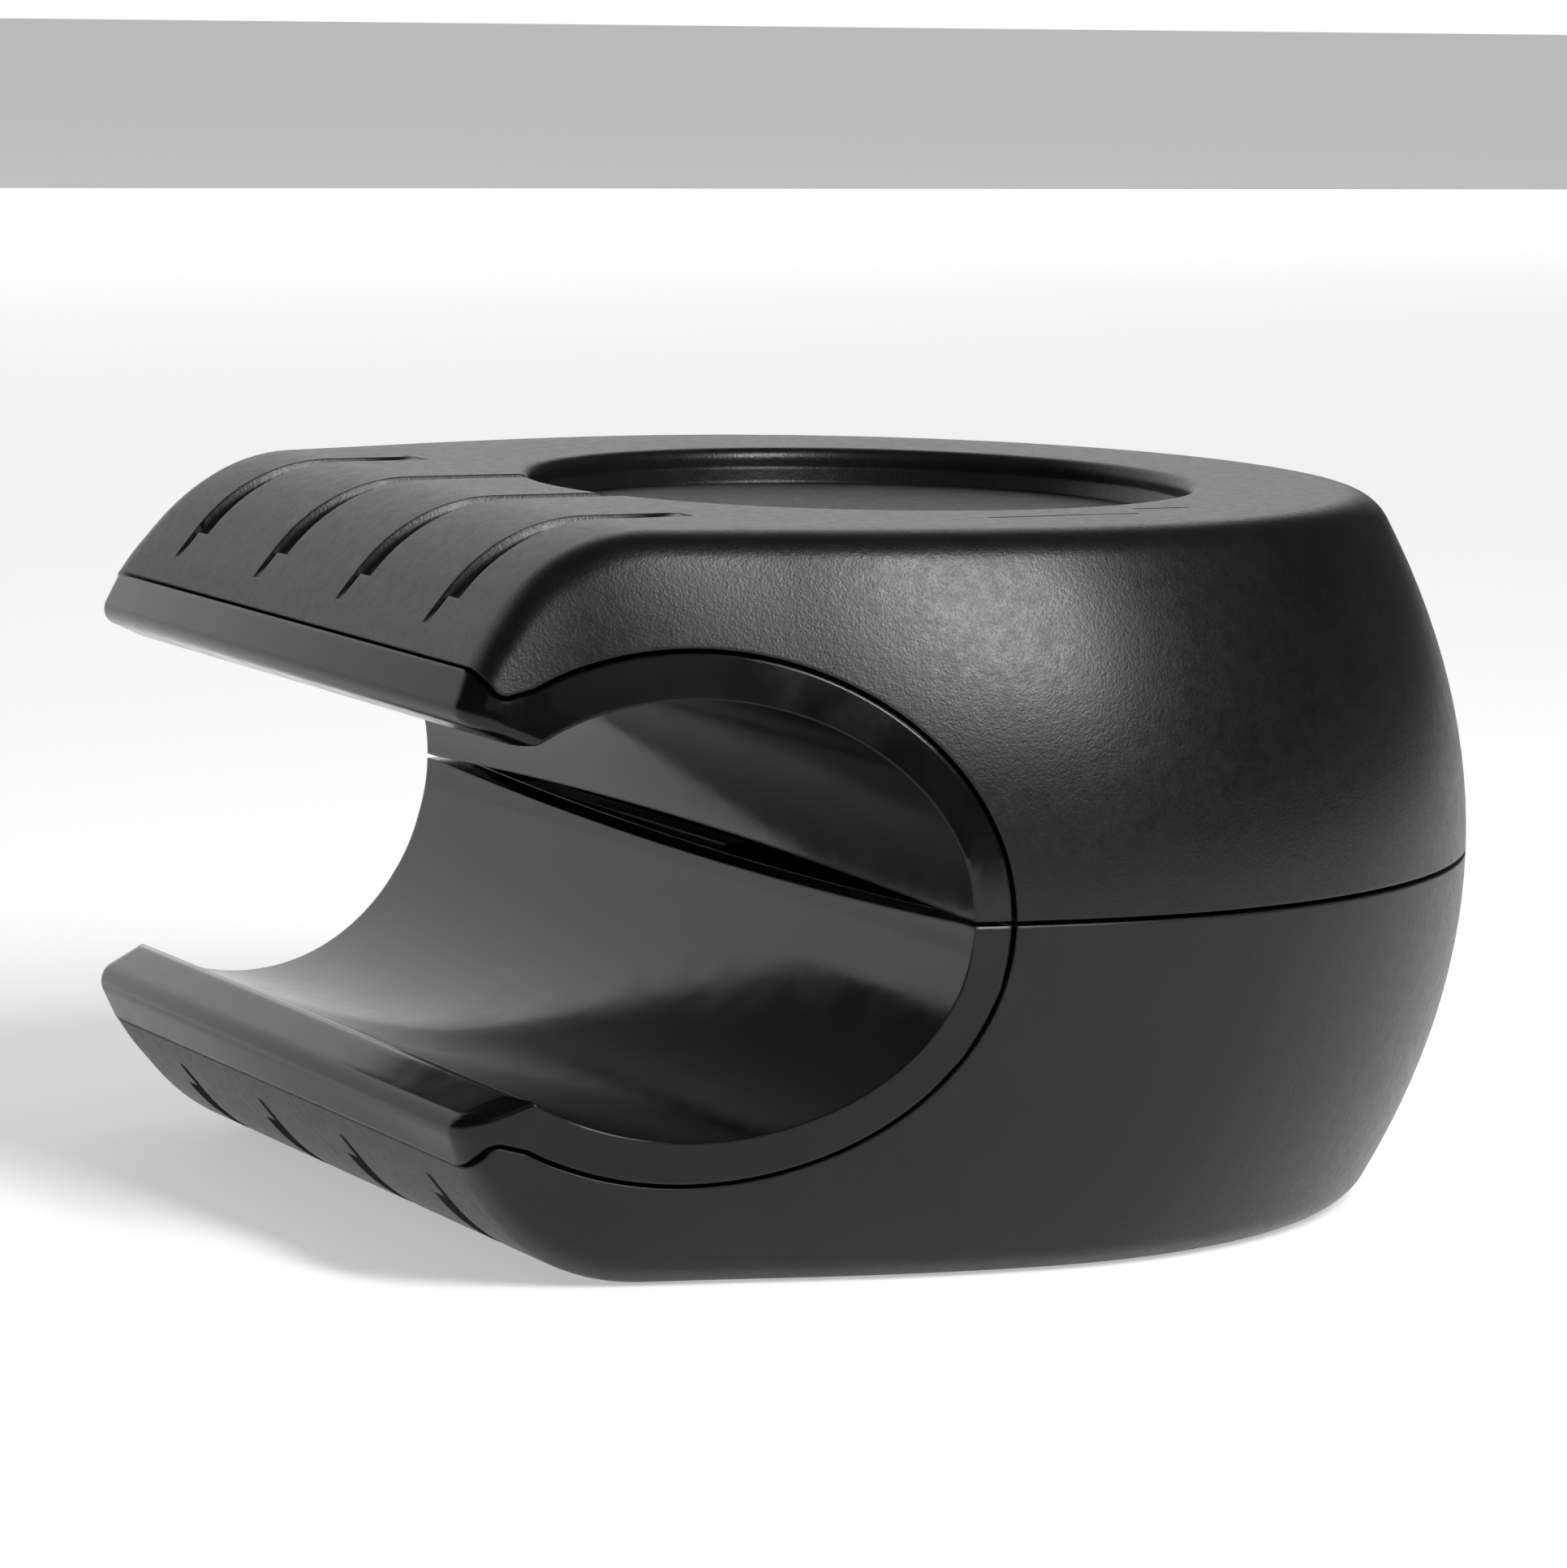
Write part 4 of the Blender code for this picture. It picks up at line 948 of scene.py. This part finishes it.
world = bpy.data.worlds.new("studio")
scene.world = world
world.use_nodes = True
tree = world.node_tree
tree.nodes.clear()
out = tree.nodes.new("ShaderNodeOutputWorld")
towards = tree.nodes.new("ShaderNodeTexCoord").outputs["Generated"]
turn = tree.nodes.new("ShaderNodeVectorRotate")
turn.rotation_type = "Z_AXIS"
turn.inputs["Angle"].default_value = math.radians(BACKDROP_AZIMUTH)
tree.links.new(towards, turn.inputs["Vector"])
axes = tree.nodes.new("ShaderNodeSeparateXYZ")
tree.links.new(turn.outputs[0], axes.inputs[0])
azimuth = joined(tree, "ABSOLUTE", joined(tree, "ARCTAN2", axes.outputs["X"], axes.outputs["Y"]), 0)
elevation = joined(tree, "ABSOLUTE", joined(tree, "SUBTRACT", joined(
    tree, "ARCSINE", axes.outputs["Z"], 0), math.radians(BACKDROP_ELEVATION)), 0)
band = []
for angle, half in zip((azimuth, elevation), BACKDROP_HALF_ANGLE):
    edge = tree.nodes.new("ShaderNodeMapRange")
    edge.interpolation_type = "SMOOTHSTEP"
    tree.links.new(angle, edge.inputs[0])
    fade = (math.radians(half - BACKDROP_HALF_FADE), math.radians(half + BACKDROP_HALF_FADE))
    for index, number in enumerate((*fade, 1.0, 0.0), 1):
        edge.inputs[index].default_value = number
    band.append(edge.outputs[0])
white = tree.nodes.new("ShaderNodeBackground")
white.inputs["Color"].default_value = WHITE
white.inputs["Strength"].default_value = 1.0
room = tree.nodes.new("ShaderNodeBackground")
room.inputs["Color"].default_value = WHITE
room.inputs["Strength"].default_value = ROOM_STRENGTH
choose = tree.nodes.new("ShaderNodeMixShader")
tree.links.new(seen_ray(tree, joined(tree, "MULTIPLY", *band)), choose.inputs[0])
tree.links.new(room.outputs[0], choose.inputs[1])
tree.links.new(white.outputs[0], choose.inputs[2])
tree.links.new(choose.outputs[0], out.inputs["Surface"])


def panel(name, azimuth, elevation, distance, size, radiance, glossy=True):
    """A lamp panel that faces the clip. Azimuth is in degrees from +Y towards +X."""
    lamp = bpy.data.lights.new(name, "AREA")
    lamp.shape = "RECTANGLE"
    lamp.size, lamp.size_y = size
    lamp.energy = radiance * math.pi * size[0] * size[1]
    item = bpy.data.objects.new(name, lamp)
    turn, rise = math.radians(azimuth), math.radians(elevation)
    away = Vector((math.sin(turn) * math.cos(rise), math.cos(turn) * math.cos(rise),
                   math.sin(rise)))
    item.location = Vector((0.0, 0.0, HALF_HEIGHT)) + away * distance
    item.rotation_mode = "QUATERNION"
    item.rotation_quaternion = away.to_track_quat("Z", "Y")
    item.visible_camera = False
    item.visible_glossy = glossy
    scene.collection.objects.link(item)


panel("behind", 3.0, 16.0, 1.2, (2.3, 0.85), 1.3, glossy=False)
panel("key", 165.0, 41.0, 0.7, (0.12, 0.34), 35.0)
panel("front_left", 205.0, 30.0, 0.8, (0.50, 0.30), 0.3)
panel("ceiling", 60.0, 70.0, 0.9, (0.8, 0.8), 0.6, glossy=False)

# The view of the photograph, in millimetres and radians about the clip's own frame.
LENS_PIXELS = 8098.65
IMAGE_LONG_SIDE = 1932.0
SENSOR = 36.0
YAW, PITCH, ROLL = 0.4810, 0.1367, 0.0222
EYE = Vector((-199.58, -374.19, 60.93 + HALF_HEIGHT / MM)) * MM

ahead = Vector((math.sin(YAW) * math.cos(PITCH), math.cos(YAW) * math.cos(PITCH),
                -math.sin(PITCH)))
level = Vector((math.cos(YAW), -math.sin(YAW), 0.0))
upward = level.cross(ahead)
right = level * math.cos(ROLL) + upward * math.sin(ROLL)
above = upward * math.cos(ROLL) - level * math.sin(ROLL)
camera_data = bpy.data.cameras.new("view")
camera_data.sensor_width = SENSOR
camera_data.lens = LENS_PIXELS / IMAGE_LONG_SIDE * SENSOR
camera_data.clip_start = 0.01
camera_data.clip_end = 20.0
camera = bpy.data.objects.new("view", camera_data)
camera.matrix_world = Matrix((
    (right.x, above.x, -ahead.x, EYE.x),
    (right.y, above.y, -ahead.y, EYE.y),
    (right.z, above.z, -ahead.z, EYE.z),
    (0.0, 0.0, 0.0, 1.0)))
scene.collection.objects.link(camera)
scene.camera = camera
